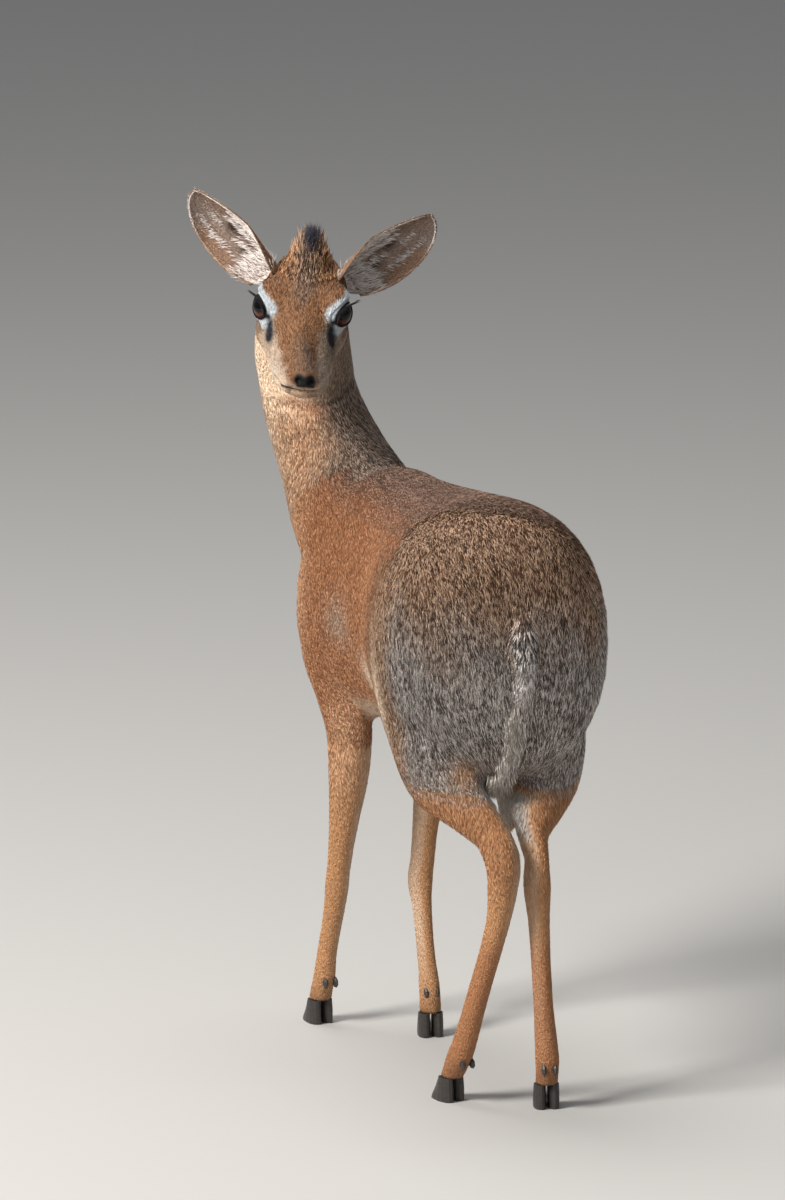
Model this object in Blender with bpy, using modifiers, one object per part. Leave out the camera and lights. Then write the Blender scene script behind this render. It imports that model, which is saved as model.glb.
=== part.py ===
"""A dik-dik that stands and looks back over its left shoulder, at life size.

Run it with: blender --background --python part.py

The frame is in metres. The animal faces -Y, its left side is +X and +Z is up. The hooves stand
on z = 0, and the origin lies under the middle of the animal's bounding box.

The flesh is lofted as a trunk, a neck, a head and four legs, melted into one surface, and parted
again with thin cuts. Eyes, ears, hooves, dewclaws, the forehead crest and the tail are pieces of
their own, which meet the flesh face to face.
"""

import math
from collections import namedtuple

import bmesh
import bpy
import numpy as np
from mathutils import Matrix, Vector

# Driving dimensions
WITHERS_HEIGHT = 0.409
RUMP_HEIGHT = 0.417
BELLY_HEIGHT = 0.233
HEAD_LENGTH = 0.115
EAR_LENGTH = 0.084
EYE_RADIUS = 0.0118
CREST_LENGTH = 0.029
CORONET_HEIGHT = 0.0175
GAP = 0.0003

# The flesh is melted at the fine size and then thinned to about this many triangles
MELT_SIZE = 0.0017
FLESH_TRIANGLES = 7300
KEEP_FACTOR = 0.00003

# The middle of the animal's box in plan, before the animal is set over the origin
BOX_MIDDLE = Vector((0.0239, -0.0103, 0.0))

SIDES = {"left": 1.0, "right": -1.0}
HEAD_SIDES = {"left": -1.0, "right": 1.0}

# The head's own origin, at the back of the skull, and the way the head is turned
HEAD_ORIGIN = Vector((0.0472, -0.150, 0.5350))
HEAD_YAW = math.radians(25.0)
HEAD_PITCH = math.radians(-33.0)
HEAD_ROLL = math.radians(5.5)
SNOUT_TURN = 0.0100

COATS = {
    "flank": (0.40, 0.27, 0.17),
    "face": (0.55, 0.30, 0.15),
    "leg": (0.56, 0.30, 0.14),
    "grey": (0.33, 0.29, 0.25),
    "ear": (0.50, 0.40, 0.33),
    "horn": (0.035, 0.03, 0.03),
    "eye": (0.02, 0.012, 0.01),
}
GLOSSY_COATS = ("eye", "horn")
GLOSSY, MATT = 0.25, 0.80

Slice = namedtuple("Slice", "y x top bottom half_width widest")

TRUNK = (
    Slice(y=0.1750, x=-0.003, top=0.346, bottom=0.300, half_width=0.017, widest=0.322),
    Slice(y=0.1700, x=-0.004, top=0.373, bottom=0.262, half_width=0.039, widest=0.318),
    Slice(y=0.1560, x=-0.005, top=0.396, bottom=0.236, half_width=0.059, widest=0.316),
    Slice(y=0.1250, x=-0.006, top=RUMP_HEIGHT - 0.003, bottom=0.225, half_width=0.076, widest=0.316),
    Slice(y=0.0900, x=-0.006, top=RUMP_HEIGHT, bottom=0.224, half_width=0.081, widest=0.316),
    Slice(y=0.0500, x=-0.004, top=RUMP_HEIGHT - 0.003, bottom=0.233, half_width=0.075, widest=0.315),
    Slice(y=0.0100, x=0.000, top=0.4115, bottom=0.236, half_width=0.063, widest=0.312),
    Slice(y=-0.0350, x=0.004, top=0.4095, bottom=BELLY_HEIGHT, half_width=0.058, widest=0.306),
    Slice(y=-0.0800, x=0.008, top=WITHERS_HEIGHT, bottom=0.228, half_width=0.058, widest=0.298),
    Slice(y=-0.1200, x=0.012, top=0.392, bottom=0.231, half_width=0.054, widest=0.296),
    Slice(y=-0.1480, x=0.015, top=0.376, bottom=0.248, half_width=0.043, widest=0.302),
    Slice(y=-0.1670, x=0.016, top=0.360, bottom=0.268, half_width=0.030, widest=0.310),
    Slice(y=-0.1770, x=0.017, top=0.354, bottom=0.284, half_width=0.020, widest=0.322),
    Slice(y=-0.1830, x=0.017, top=0.346, bottom=0.304, half_width=0.009, widest=0.328),
)

# A limb's ring: its centre, and its half sizes to the side, towards the front and towards the back
Ring = namedtuple("Ring", "x y z side front back")

NECK = (
    Ring(0.010, -0.074, 0.318, 0.048, 0.076, 0.060),
    Ring(0.014, -0.102, 0.342, 0.049, 0.068, 0.056),
    Ring(0.021, -0.130, 0.370, 0.0465, 0.054, 0.048),
    Ring(0.028, -0.154, 0.400, 0.0400, 0.041, 0.041),
    Ring(0.0365, -0.169, 0.430, 0.0365, 0.034, 0.037),
    Ring(0.043, -0.171, 0.458, 0.0345, 0.031, 0.037),
    Ring(0.048, -0.164, 0.485, 0.0345, 0.030, 0.036),
    Ring(0.051, -0.150, 0.510, 0.0310, 0.028, 0.032),
    Ring(0.052, -0.138, 0.526, 0.0260, 0.024, 0.024),
)

FORELEG = {
    "left": (
        Ring(0.036, -0.110, 0.330, 0.020, 0.032, 0.032),
        Ring(0.0430, -0.108, 0.282, 0.0230, 0.038, 0.036),
        Ring(0.0400, -0.097, 0.247, 0.0195, 0.029, 0.030),
        Ring(0.0378, -0.089, 0.220, 0.0170, 0.021, 0.024),
        Ring(0.0384, -0.087, 0.190, 0.0148, 0.0160, 0.0175),
        Ring(0.0410, -0.092, 0.150, 0.0102, 0.0112, 0.0116),
        Ring(0.0420, -0.0985, 0.120, 0.0083, 0.0090, 0.0088),
        Ring(0.0425, -0.1020, 0.104, 0.0084, 0.0092, 0.0090),
        Ring(0.0432, -0.1065, 0.086, 0.0074, 0.0078, 0.0084),
        Ring(0.0455, -0.1150, 0.055, 0.0069, 0.0072, 0.0080),
        Ring(0.0463, -0.1195, 0.036, 0.0076, 0.0076, 0.0098),
        Ring(0.0472, -0.1240, 0.023, 0.0078, 0.0076, 0.0086),
        Ring(0.0478, -0.1270, 0.010, 0.0086, 0.0088, 0.0088),
    ),
    "right": (
        Ring(-0.016, -0.108, 0.330, 0.018, 0.030, 0.030),
        Ring(-0.0265, -0.110, 0.282, 0.0235, 0.036, 0.036),
        Ring(-0.0315, -0.104, 0.247, 0.0200, 0.028, 0.030),
        Ring(-0.031, -0.101, 0.220, 0.0165, 0.020, 0.023),
        Ring(-0.029, -0.101, 0.190, 0.0138, 0.0155, 0.0170),
        Ring(-0.0245, -0.104, 0.150, 0.0096, 0.0108, 0.0112),
        Ring(-0.0215, -0.103, 0.120, 0.0085, 0.0092, 0.0090),
        Ring(-0.0190, -0.101, 0.104, 0.0090, 0.0096, 0.0092),
        Ring(-0.0182, -0.094, 0.086, 0.0068, 0.0076, 0.0082),
        Ring(-0.0165, -0.080, 0.055, 0.0063, 0.0068, 0.0076),
        Ring(-0.0152, -0.0695, 0.036, 0.0073, 0.0074, 0.0096),
        Ring(-0.0148, -0.0655, 0.023, 0.0076, 0.0076, 0.0086),
        Ring(-0.0145, -0.0640, 0.010, 0.0086, 0.0088, 0.0088),
    ),
}

HINDLEG = {
    "left": (
        Ring(0.032, 0.078, 0.335, 0.040, 0.052, 0.060),
        Ring(0.038, 0.077, 0.290, 0.034, 0.054, 0.068),
        Ring(0.037, 0.086, 0.254, 0.0265, 0.043, 0.073),
        Ring(0.034, 0.108, 0.228, 0.0250, 0.031, 0.050),
        Ring(0.0250, 0.134, 0.210, 0.0165, 0.0195, 0.0255),
        Ring(0.0148, 0.159, 0.195, 0.0130, 0.0135, 0.0140),
        Ring(0.0116, 0.1725, 0.180, 0.0126, 0.0130, 0.0150),
        Ring(0.0105, 0.1700, 0.160, 0.0104, 0.0115, 0.0126),
        Ring(0.0126, 0.1630, 0.130, 0.0078, 0.0088, 0.0092),
        Ring(0.0206, 0.1470, 0.080, 0.0074, 0.0080, 0.0084),
        Ring(0.0258, 0.1345, 0.045, 0.0082, 0.0082, 0.0094),
        Ring(0.0280, 0.1295, 0.034, 0.0085, 0.0083, 0.0100),
        Ring(0.0300, 0.1225, 0.022, 0.0078, 0.0077, 0.0088),
        Ring(0.0310, 0.1180, 0.010, 0.0086, 0.0088, 0.0088),
    ),
    "right": (
        Ring(-0.038, 0.078, 0.335, 0.040, 0.052, 0.060),
        Ring(-0.046, 0.076, 0.290, 0.037, 0.056, 0.066),
        Ring(-0.043, 0.086, 0.254, 0.0315, 0.044, 0.071),
        Ring(-0.038, 0.108, 0.228, 0.0300, 0.031, 0.048),
        Ring(-0.0275, 0.132, 0.210, 0.0215, 0.0200, 0.0245),
        Ring(-0.0180, 0.151, 0.193, 0.0120, 0.0135, 0.0140),
        Ring(-0.0165, 0.1620, 0.178, 0.0082, 0.0125, 0.0150),
        Ring(-0.0165, 0.1635, 0.158, 0.0094, 0.0112, 0.0124),
        Ring(-0.0180, 0.1640, 0.130, 0.0072, 0.0082, 0.0088),
        Ring(-0.0204, 0.1650, 0.080, 0.0066, 0.0076, 0.0082),
        Ring(-0.0230, 0.1655, 0.045, 0.0080, 0.0080, 0.0092),
        Ring(-0.0238, 0.1645, 0.034, 0.0084, 0.0082, 0.0098),
        Ring(-0.0250, 0.1605, 0.022, 0.0077, 0.0076, 0.0088),
        Ring(-0.0255, 0.1580, 0.010, 0.0086, 0.0088, 0.0088),
    ),
}

# The soft flesh that closes the gap between the thighs, nearer to the right one
GROIN = (
    Ring(-0.0080, 0.098, 0.262, 0.0260, 0.0300, 0.0340),
    Ring(-0.0100, 0.106, 0.236, 0.0180, 0.0240, 0.0270),
    Ring(-0.0115, 0.112, 0.215, 0.0085, 0.0150, 0.0180),
    Ring(-0.0115, 0.117, 0.200, 0.0070, 0.0090, 0.0115),
    Ring(-0.0115, 0.121, 0.188, 0.0035, 0.0045, 0.0055),
)

# The way each foot points in plan, turned from straight ahead towards the animal's left
FOOT_TURN = {
    "fore_left": 12.0,
    "fore_right": -4.0,
    "hind_left": 20.0,
    "hind_right": -6.0,
}

# A slice of the head. In the head's frame +X is the animal's right, +Y runs to the nose, +Z is up
Face = namedtuple("Face", "y half_width top bottom widest")

SKULL = (
    Face(y=-0.012, half_width=0.012, top=0.008, bottom=-0.012, widest=-0.002),
    Face(y=-0.004, half_width=0.0220, top=0.0175, bottom=-0.022, widest=-0.002),
    Face(y=0.010, half_width=0.0285, top=0.0245, bottom=-0.0300, widest=-0.001),
    Face(y=0.026, half_width=0.0315, top=0.0270, bottom=-0.0345, widest=0.000),
    Face(y=0.042, half_width=0.0310, top=0.0262, bottom=-0.0350, widest=0.001),
    Face(y=0.056, half_width=0.0275, top=0.0222, bottom=-0.0330, widest=-0.004),
    Face(y=0.070, half_width=0.0252, top=0.0168, bottom=-0.0290, widest=-0.009),
    Face(y=0.084, half_width=0.0228, top=0.0134, bottom=-0.0230, widest=-0.012),
    Face(y=0.098, half_width=0.0185, top=0.0116, bottom=-0.0150, widest=-0.009),
    Face(y=0.109, half_width=0.0140, top=0.0108, bottom=-0.0095, widest=-0.003),
    Face(y=HEAD_LENGTH, half_width=0.0085, top=0.0075, bottom=-0.0045, widest=0.001),
)

JAW = (
    Face(y=0.012, half_width=0.0250, top=-0.010, bottom=-0.0360, widest=-0.022),
    Face(y=0.030, half_width=0.0285, top=-0.008, bottom=-0.0420, widest=-0.025),
    Face(y=0.050, half_width=0.0260, top=-0.010, bottom=-0.0415, widest=-0.026),
    Face(y=0.070, half_width=0.0220, top=-0.010, bottom=-0.0360, widest=-0.023),
    Face(y=0.086, half_width=0.0178, top=-0.010, bottom=-0.0305, widest=-0.020),
    Face(y=0.097, half_width=0.0135, top=-0.009, bottom=-0.0260, widest=-0.0175),
    Face(y=0.104, half_width=0.0088, top=-0.008, bottom=-0.0228, widest=-0.0155),
    Face(y=0.108, half_width=0.0045, top=-0.009, bottom=-0.0190, widest=-0.0140),
)

# Places in the head's frame for the animal's right side, mirrored for its left
EYE_PLACE = Vector((0.0225, 0.045, 0.0075))
EYE_LOOKS = Vector((0.84, 0.46, 0.28))
EAR_PLACE = Vector((0.0235, 0.007, 0.0085))
LIP_PLACE = Vector((0.0095, 0.096, -0.0065))
NOSTRIL_PLACE = Vector((0.0048, 0.1138, 0.0035))
MOUTH_CORNER = Vector((0.0190, 0.086, -0.0175))
MOUTH_FRONT = Vector((0.0, 0.1120, -0.0060))

EAR_LINES = {"left": Vector((0.72, -0.10, 0.68)), "right": Vector((0.70, -0.12, 0.70))}
EAR_OPENING = Vector((0.34, 0.93, -0.05))
EAR_ROWS, EAR_COLUMNS = 13, 12
EAR_HALF_WIDTH = 0.0280
EAR_SAG = 0.0056
EAR_WALL = 0.0015

CREST_PLACE = Vector((-0.001, 0.013, 0.0200))
CREST_LOCKS, CREST_SEED = 44, 5
TAIL_LOCKS, TAIL_SEED = 10, 8

# The finish of each node, by the start of its name
COAT_OF = {
    "head": "face",
    "neck": "flank",
    "torso": "flank",
    "tail": "grey",
    "crest": "grey",
    "ear": "ear",
    "eye": "eye",
    "foreleg": "leg",
    "hindleg": "leg",
    "hoof": "horn",
    "dewclaw": "horn",
}

# Where the head, the neck and the legs are parted from the flesh beside them
HEAD_CUT = -0.0415
NECK_CUT_PLACE = Vector((0.020, -0.126, 0.388))
NECK_CUT_LINE = Vector((0.15, -0.65, 0.745))
FORELEG_CUT = 0.2115
HINDLEG_CUT = 0.2200


def clear_scene():
    """Takes the startup objects out."""
    for obj in list(bpy.data.objects):
        bpy.data.objects.remove(obj, do_unlink=True)


def finish_of(name, colour, roughness):
    """A plain material with one colour and one roughness."""
    material = bpy.data.materials.new(name)
    material.use_nodes = True
    shader = material.node_tree.nodes["Principled BSDF"]
    shader.inputs["Base Color"].default_value = (*colour, 1.0)
    shader.inputs["Roughness"].default_value = roughness
    shader.inputs["Metallic"].default_value = 0.0
    return material


def object_of(name, mesh):
    """Puts a mesh in the scene as an object."""
    obj = bpy.data.objects.new(name, mesh)
    bpy.context.scene.collection.objects.link(obj)
    return obj


def object_from(name, shape):
    """Puts an edited shape in the scene as an object."""
    mesh = bpy.data.meshes.new(name)
    shape.to_mesh(mesh)
    shape.free()
    return object_of(name, mesh)


def drop(obj):
    """Removes an object and its mesh."""
    mesh = obj.data
    bpy.data.objects.remove(obj, do_unlink=True)
    bpy.data.meshes.remove(mesh)


def copy_of(obj, name):
    """A second object with a mesh of its own."""
    return object_of(name, obj.data.copy())


def baked(obj):
    """Applies the object's modifiers to its mesh."""
    graph = bpy.context.evaluated_depsgraph_get()
    mesh = bpy.data.meshes.new_from_object(obj.evaluated_get(graph))
    old = obj.data
    obj.modifiers.clear()
    obj.data = mesh
    bpy.data.meshes.remove(old)
    return obj


def joined(name, pieces):
    """One object that holds the faces of several, which are dropped."""
    shape = bmesh.new()
    for piece in pieces:
        shape.from_mesh(piece.data)
        drop(piece)
    return object_from(name, shape)


def keep_largest(obj):
    """Leaves only the largest closed surface of a mesh."""
    shape = bmesh.new()
    shape.from_mesh(obj.data)
    left, groups = set(shape.verts), []
    while left:
        edge, group = [left.pop()], []
        while edge:
            vert = edge.pop()
            group.append(vert)
            for link in vert.link_edges:
                other = link.other_vert(vert)
                if other in left:
                    left.remove(other)
                    edge.append(other)
        groups.append(group)
    groups.sort(key=len)
    for group in groups[:-1]:
        bmesh.ops.delete(shape, geom=group, context="VERTS")
    shape.to_mesh(obj.data)
    shape.free()
    return obj


def combine(obj, other, operation, solver="EXACT"):
    """Joins, cuts or meets two closed meshes, and drops the second."""
    step = obj.modifiers.new(operation, "BOOLEAN")
    step.operation = operation
    step.object = other
    step.solver = solver
    baked(obj)
    drop(other)
    return keep_largest(obj)


def through(rows, steps):
    """A smooth run of rows through the given ones, with some steps between each two."""
    given = np.array(rows, float)
    padded = np.vstack([2 * given[0] - given[1], given, 2 * given[-1] - given[-2]])
    made = []
    for i in range(len(given) - 1):
        before, start, end, after = padded[i : i + 4]
        for t in np.arange(steps) / steps:
            bend = (2 * before - 5 * start + 4 * end - after) * t**2
            made.append(
                0.5 * (2 * start + (end - before) * t + bend + (3 * start - before - 3 * end + after) * t**3)
            )
    made.append(given[-1])
    return np.array(made)


def loft(name, rings):
    """A closed body through rings of points, with a flat cap at each end."""
    shape = bmesh.new()
    loops = [[shape.verts.new(point) for point in ring] for ring in rings]
    count = len(loops[0])
    for near, far in zip(loops, loops[1:]):
        for i in range(count):
            j = (i + 1) % count
            shape.faces.new((near[i], near[j], far[j], far[i]))
    shape.faces.new(list(reversed(loops[0])))
    shape.faces.new(loops[-1])
    bmesh.ops.recalc_face_normals(shape, faces=shape.faces)
    return object_from(name, shape)


def round_section(half_width, widest, top, bottom, count, upper=0.92):
    """Points (side, height) round a section; an upper power over 1 makes its top half a ridge."""
    points = []
    for turn in np.arange(count) * math.tau / count:
        power = upper if math.sin(turn) > 0 else 0.92
        side = math.copysign(abs(math.cos(turn)) ** power, math.cos(turn))
        rise = math.copysign(abs(math.sin(turn)) ** power, math.sin(turn))
        reach = top - widest if rise > 0 else widest - bottom
        points.append((half_width * side, widest + reach * rise))
    return points


def limb(name, joints, steps=5, count=20):
    """A neck, a leg, a tail or a hair, whose rings stand square to the line through its joints."""
    rows = through(joints, steps)
    centres = [Vector(row[:3]) for row in rows]
    rings = []
    for i, row in enumerate(rows):
        along = (centres[min(i + 1, len(rows) - 1)] - centres[max(i - 1, 0)]).normalized()
        side = (Vector((1, 0, 0)) - along * along.x).normalized()
        front = along.cross(side)
        ring = []
        for turn in np.arange(count) * math.tau / count:
            depth = row[4] if math.sin(turn) > 0 else row[5]
            ring.append(centres[i] + side * row[3] * math.cos(turn) + front * depth * math.sin(turn))
        rings.append(ring)
    return loft(name, rings)


def ball(name, centre, half_sizes, turn=None, segments=24):
    """An ellipsoid."""
    shape = bmesh.new()
    bmesh.ops.create_uvsphere(shape, u_segments=segments, v_segments=segments // 2, radius=1.0)
    place = Matrix.Translation(centre) @ (turn or Matrix.Identity(3)).to_4x4()
    shape.transform(place @ Matrix.Diagonal((*half_sizes, 1.0)))
    return object_from(name, shape)


def block(name, place, low, high):
    """A box between two corners, in the frame that a matrix gives."""
    shape = bmesh.new()
    bmesh.ops.create_cube(shape, size=1.0)
    low, high = Vector(low), Vector(high)
    shape.transform(place @ Matrix.Translation((low + high) / 2) @ Matrix.Diagonal((*(high - low), 1.0)))
    return object_from(name, shape)


def facing(line, up=Vector((0, 0, 1))):
    """The turn that takes +Z along a line, with +Y as near to up as it goes."""
    z = line.normalized()
    x = up.cross(z).normalized()
    return Matrix((x, z.cross(x), z)).transposed()


def head_frame():
    """The matrix from the head's own frame to the animal's."""
    turned = Matrix.Rotation(-HEAD_YAW, 4, "Z") @ Matrix.Rotation(HEAD_PITCH, 4, "X")
    return Matrix.Translation(HEAD_ORIGIN) @ turned @ Matrix.Rotation(-HEAD_ROLL, 4, "Y")


def snout_shift(y):
    """How far the soft snout swings to the animal's left at this distance from the skull's back."""
    return Vector((-SNOUT_TURN * min(1.0, max(0.0, (y - 0.055) / (HEAD_LENGTH - 0.055))) ** 1.5, 0, 0))


def on_side(place, side):
    """A place in the head's frame, on the right (1) or on the left (-1)."""
    return Vector((place.x * side, place.y, place.z))


def trunk():
    """Rump, barrel and chest."""
    rings = []
    for y, x, top, bottom, half_width, widest in through(TRUNK, 4):
        section = round_section(half_width, widest, top, bottom, 32)
        rings.append([Vector((x + side, y, height)) for side, height in section])
    return loft("trunk", rings)


def head_masses():
    """Skull, jaw, brows, cheeks, eyelids and lips, as closed bodies that overlap."""
    made = []
    for name, table, count in (("skull", SKULL, 28), ("jaw", JAW, 20)):
        rings = []
        for y, half_width, top, bottom, widest in through(table, 4):
            ridge = 0.92 + 0.43 * min(1.0, max(0.0, (y - 0.050) / 0.040))
            section = round_section(half_width, widest, top, bottom, count, ridge)
            rings.append([Vector((side, y, height)) + snout_shift(y) for side, height in section])
        made.append(loft(name, rings))
    for side in HEAD_SIDES.values():
        made.append(ball("brow", on_side(Vector((0.0215, 0.040, 0.0150)), side), (0.0115, 0.0165, 0.0105)))
        made.append(ball("cheek", on_side(Vector((0.0190, 0.034, -0.0185)), side), (0.0135, 0.0250, 0.0155)))
        lids = EYE_RADIUS + 0.0016
        made.append(ball("lids", on_side(EYE_PLACE, side), (lids, lids, lids)))
        lip = on_side(LIP_PLACE, side) + snout_shift(LIP_PLACE.y)
        made.append(ball("lip", lip, (0.0085, 0.0150, 0.0078)))
    for obj in made:
        obj.data.transform(head_frame())
    return made


def whole_flesh():
    """The animal's flesh as one closed surface, with the hooves, the ears and the crest left off."""
    masses = [trunk(), limb("neck", NECK, count=28), limb("groin", GROIN)]
    for side in SIDES:
        masses.append(limb("foreleg", FORELEG[side]))
        masses.append(limb("hindleg", HINDLEG[side], count=24))
    body = joined("flesh", masses + head_masses())
    melt = body.modifiers.new("Melt", "REMESH")
    melt.mode = "VOXEL"
    melt.voxel_size = MELT_SIZE
    melt.adaptivity = 0.0
    keep_largest(baked(body))
    soften(body)
    thin_out(body)
    return body


def points_of(mesh):
    """A mesh's vertices as an array."""
    points = np.empty(len(mesh.vertices) * 3)
    mesh.vertices.foreach_get("co", points)
    return points.reshape(-1, 3)


def weigh(obj, name, weights):
    """A vertex group with one weight for each vertex, in twentieths."""
    group = obj.vertex_groups.new(name=name)
    steps = np.round(weights * 20).astype(int)
    for step in np.unique(steps):
        group.add(np.nonzero(steps == step)[0].tolist(), step / 20, "REPLACE")


def head_share(points):
    """1 for the points on the head, 0 for those of the rest, with a short run between them."""
    inverse = np.array(head_frame().inverted())
    face = points @ inverse[:3, :3].T + inverse[:3, 3]
    return np.clip((face[:, 2] - HEAD_CUT) / 0.012, 0, 1) * np.clip((face[:, 1] + 0.03) / 0.02, 0, 1)


def soften(obj):
    """Rounds the creases where masses meet, strongly on the trunk and lightly on head and legs."""
    points = points_of(obj.data)
    trunk_share = np.clip((points[:, 2] - 0.185) / 0.05, 0, 1)
    weigh(obj, "soft", 0.10 + 0.90 * trunk_share * (1 - 0.85 * head_share(points)))
    smooth = obj.modifiers.new("Soften", "SMOOTH")
    smooth.factor = 0.5
    smooth.iterations = 30
    smooth.vertex_group = "soft"
    baked(obj)
    obj.vertex_groups.clear()


def thin_out(obj):
    """Brings the surface down to few triangles, keeping more of them on the head and the feet."""
    points = points_of(obj.data)
    feet_share = np.clip((0.19 - points[:, 2]) / 0.03, 0, 1)
    weigh(obj, "thin", 1.0 - 0.9 * np.maximum(head_share(points), 0.35 * feet_share))
    triangles = sum(len(face.vertices) - 2 for face in obj.data.polygons)
    fewer = obj.modifiers.new("Thin", "DECIMATE")
    fewer.ratio = FLESH_TRIANGLES / triangles
    fewer.vertex_group = "thin"
    fewer.vertex_group_factor = KEEP_FACTOR
    baked(obj)
    obj.vertex_groups.clear()


def part_off(body, name, place, low, high):
    """Cuts the part of the body inside a box off as a piece, a thin gap away from the rest."""
    piece = combine(copy_of(body, name), block("region", place, low, high), "INTERSECT")
    wider = Vector((GAP, GAP, GAP))
    combine(body, block("region", place, Vector(low) - wider, Vector(high) + wider), "DIFFERENCE")
    return piece


def set_out(obj, distance):
    """A copy of a closed mesh with its surface moved outwards by this distance."""
    grown = copy_of(obj, "grown")
    mesh = grown.data
    normals = np.empty(len(mesh.vertices) * 3)
    mesh.vertices.foreach_get("normal", normals)
    moved = points_of(mesh) + normals.reshape(-1, 3) * distance
    mesh.vertices.foreach_set("co", moved.ravel())
    mesh.update()
    return grown


def hoof(name, foot, turn, inner):
    """One pointed half of a cloven hoof, which stands on the floor under the pastern."""
    rings = []
    for height, front, back, half_width, lean in (
        (0.0, 0.0150, 0.0080, 0.0040, 0.0),
        (0.0022, 0.0142, 0.0084, 0.0043, 0.0003),
        (0.0090, 0.0098, 0.0082, 0.0044, 0.0006),
        (CORONET_HEIGHT - GAP, 0.0058, 0.0074, 0.0040, 0.0006),
    ):
        ring = []
        for angle in np.arange(14) * math.tau / 14:
            ahead = math.cos(angle)
            side = math.sin(angle) * half_width * (1 - 0.45 * max(0.0, ahead) ** 2)
            reach = front if ahead > 0 else back
            ring.append(Vector((side + inner * (0.0046 + lean * 0.2), -reach * ahead, height)))
        rings.append(ring)
    made = loft(name, rings)
    made.data.transform(Matrix.Translation(foot) @ Matrix.Rotation(math.radians(turn), 4, "Z"))
    return made


def dewclaw(name, fetlock, turn, inner, leg):
    """A small horny nub behind the fetlock."""
    place = Matrix.Translation(fetlock) @ Matrix.Rotation(math.radians(turn), 4, "Z")
    sizes = (0.0019, 0.0030, 0.0044)
    made = ball(name, Vector((inner * 0.0040, 0.0084, -0.0040)), sizes, Matrix.Rotation(0.5, 3, "X"), 8)
    made.data.transform(place)
    return combine(made, set_out(leg, GAP), "DIFFERENCE")


def ear(name, place, line, opening):
    """A leaf-shaped ear, rolled at its root and cupped towards its opening."""
    outer, inner = [], []
    turn = facing(line, opening)
    lower = -math.copysign(EAR_SAG, turn.col[0].z)
    for u in 1 - np.linspace(1.0, 0.0, EAR_ROWS) ** 1.4:
        half_width = EAR_HALF_WIDTH * math.sin(math.pi * (0.20 + 0.80 * u) ** 0.90) ** 0.55 if u < 1 else 0.0
        half_width += EAR_WALL
        roll = math.radians(215 - 125 * min(1.0, u / 0.5) ** 0.75)
        radius = 2 * half_width / roll
        bow = 0.006 * math.sin(math.pi * u)
        sag = lower * math.sin(math.pi * u)
        for surface, inset in ((outer, 0.0), (inner, EAR_WALL)):
            row = []
            for v in np.linspace(-1.0, 1.0, EAR_COLUMNS):
                angle = roll / 2 * v * (1 - 0.5 * inset / half_width)
                reach = radius - inset * (1 - 0.5 * u)
                height = u * (EAR_LENGTH - 0.7 * inset) + 0.004 * v * v * (1 - u)
                depth = radius - math.cos(angle) * reach - bow
                row.append(Vector((sag + math.sin(angle) * reach, depth, height)))
            surface.append(row)
    shape = bmesh.new()
    back = [[shape.verts.new(point) for point in row] for row in outer]
    front = [[shape.verts.new(point) for point in row] for row in inner]
    last = EAR_COLUMNS - 1
    for i in range(EAR_ROWS - 1):
        for j in range(last):
            shape.faces.new((back[i][j], back[i][j + 1], back[i + 1][j + 1], back[i + 1][j]))
            shape.faces.new((front[i][j], front[i + 1][j], front[i + 1][j + 1], front[i][j + 1]))
        shape.faces.new((back[i][0], back[i + 1][0], front[i + 1][0], front[i][0]))
        shape.faces.new((back[i][last], front[i][last], front[i + 1][last], back[i + 1][last]))
    for j in range(last):
        shape.faces.new((back[0][j], front[0][j], front[0][j + 1], back[0][j + 1]))
        shape.faces.new((back[-1][j], back[-1][j + 1], front[-1][j + 1], front[-1][j]))
    bmesh.ops.recalc_face_normals(shape, faces=shape.faces)
    leaf = object_from(name, shape)
    leaf.data.transform(head_frame() @ Matrix.Translation(place) @ turn.to_4x4())
    root = ball("root", Vector((0, -0.0020, 0.000)), (0.0090, 0.0068, 0.0130), segments=16)
    root.data.transform(head_frame() @ Matrix.Translation(place) @ turn.to_4x4())
    return combine(leaf, root, "UNION")


def lock(root, line, length, width, bend, sides=3):
    """One flat tapered lock of hair, which springs from its root and bends on its way."""
    rings = []
    turn = facing(line, bend)
    for share, size in ((0.0, 1.0), (0.35, 0.9), (0.7, 0.6), (1.0, 0.12)):
        centre = root + line * length * share + bend * length * share * share
        ring = []
        for angle in np.arange(sides) * math.tau / sides:
            flat = Vector((math.cos(angle) * width * size, math.sin(angle) * width * 0.6 * size, 0))
            ring.append(centre + turn @ flat)
        rings.append(ring)
    return loft("lock", rings)


def fused(name, pieces):
    """One closed surface from pieces that overlap."""
    core = copy_of(pieces[0], name)
    group = bpy.data.collections.new(name + "_pieces")
    for piece in pieces[1:]:
        bpy.context.scene.collection.objects.unlink(piece)
        group.objects.link(piece)
    step = core.modifiers.new("Fuse", "BOOLEAN")
    step.operation = "UNION"
    step.operand_type = "COLLECTION"
    step.collection = group
    step.solver = "EXACT"
    baked(core)
    for piece in pieces:
        drop(piece)
    bpy.data.collections.remove(group)
    return keep_largest(core)


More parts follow.
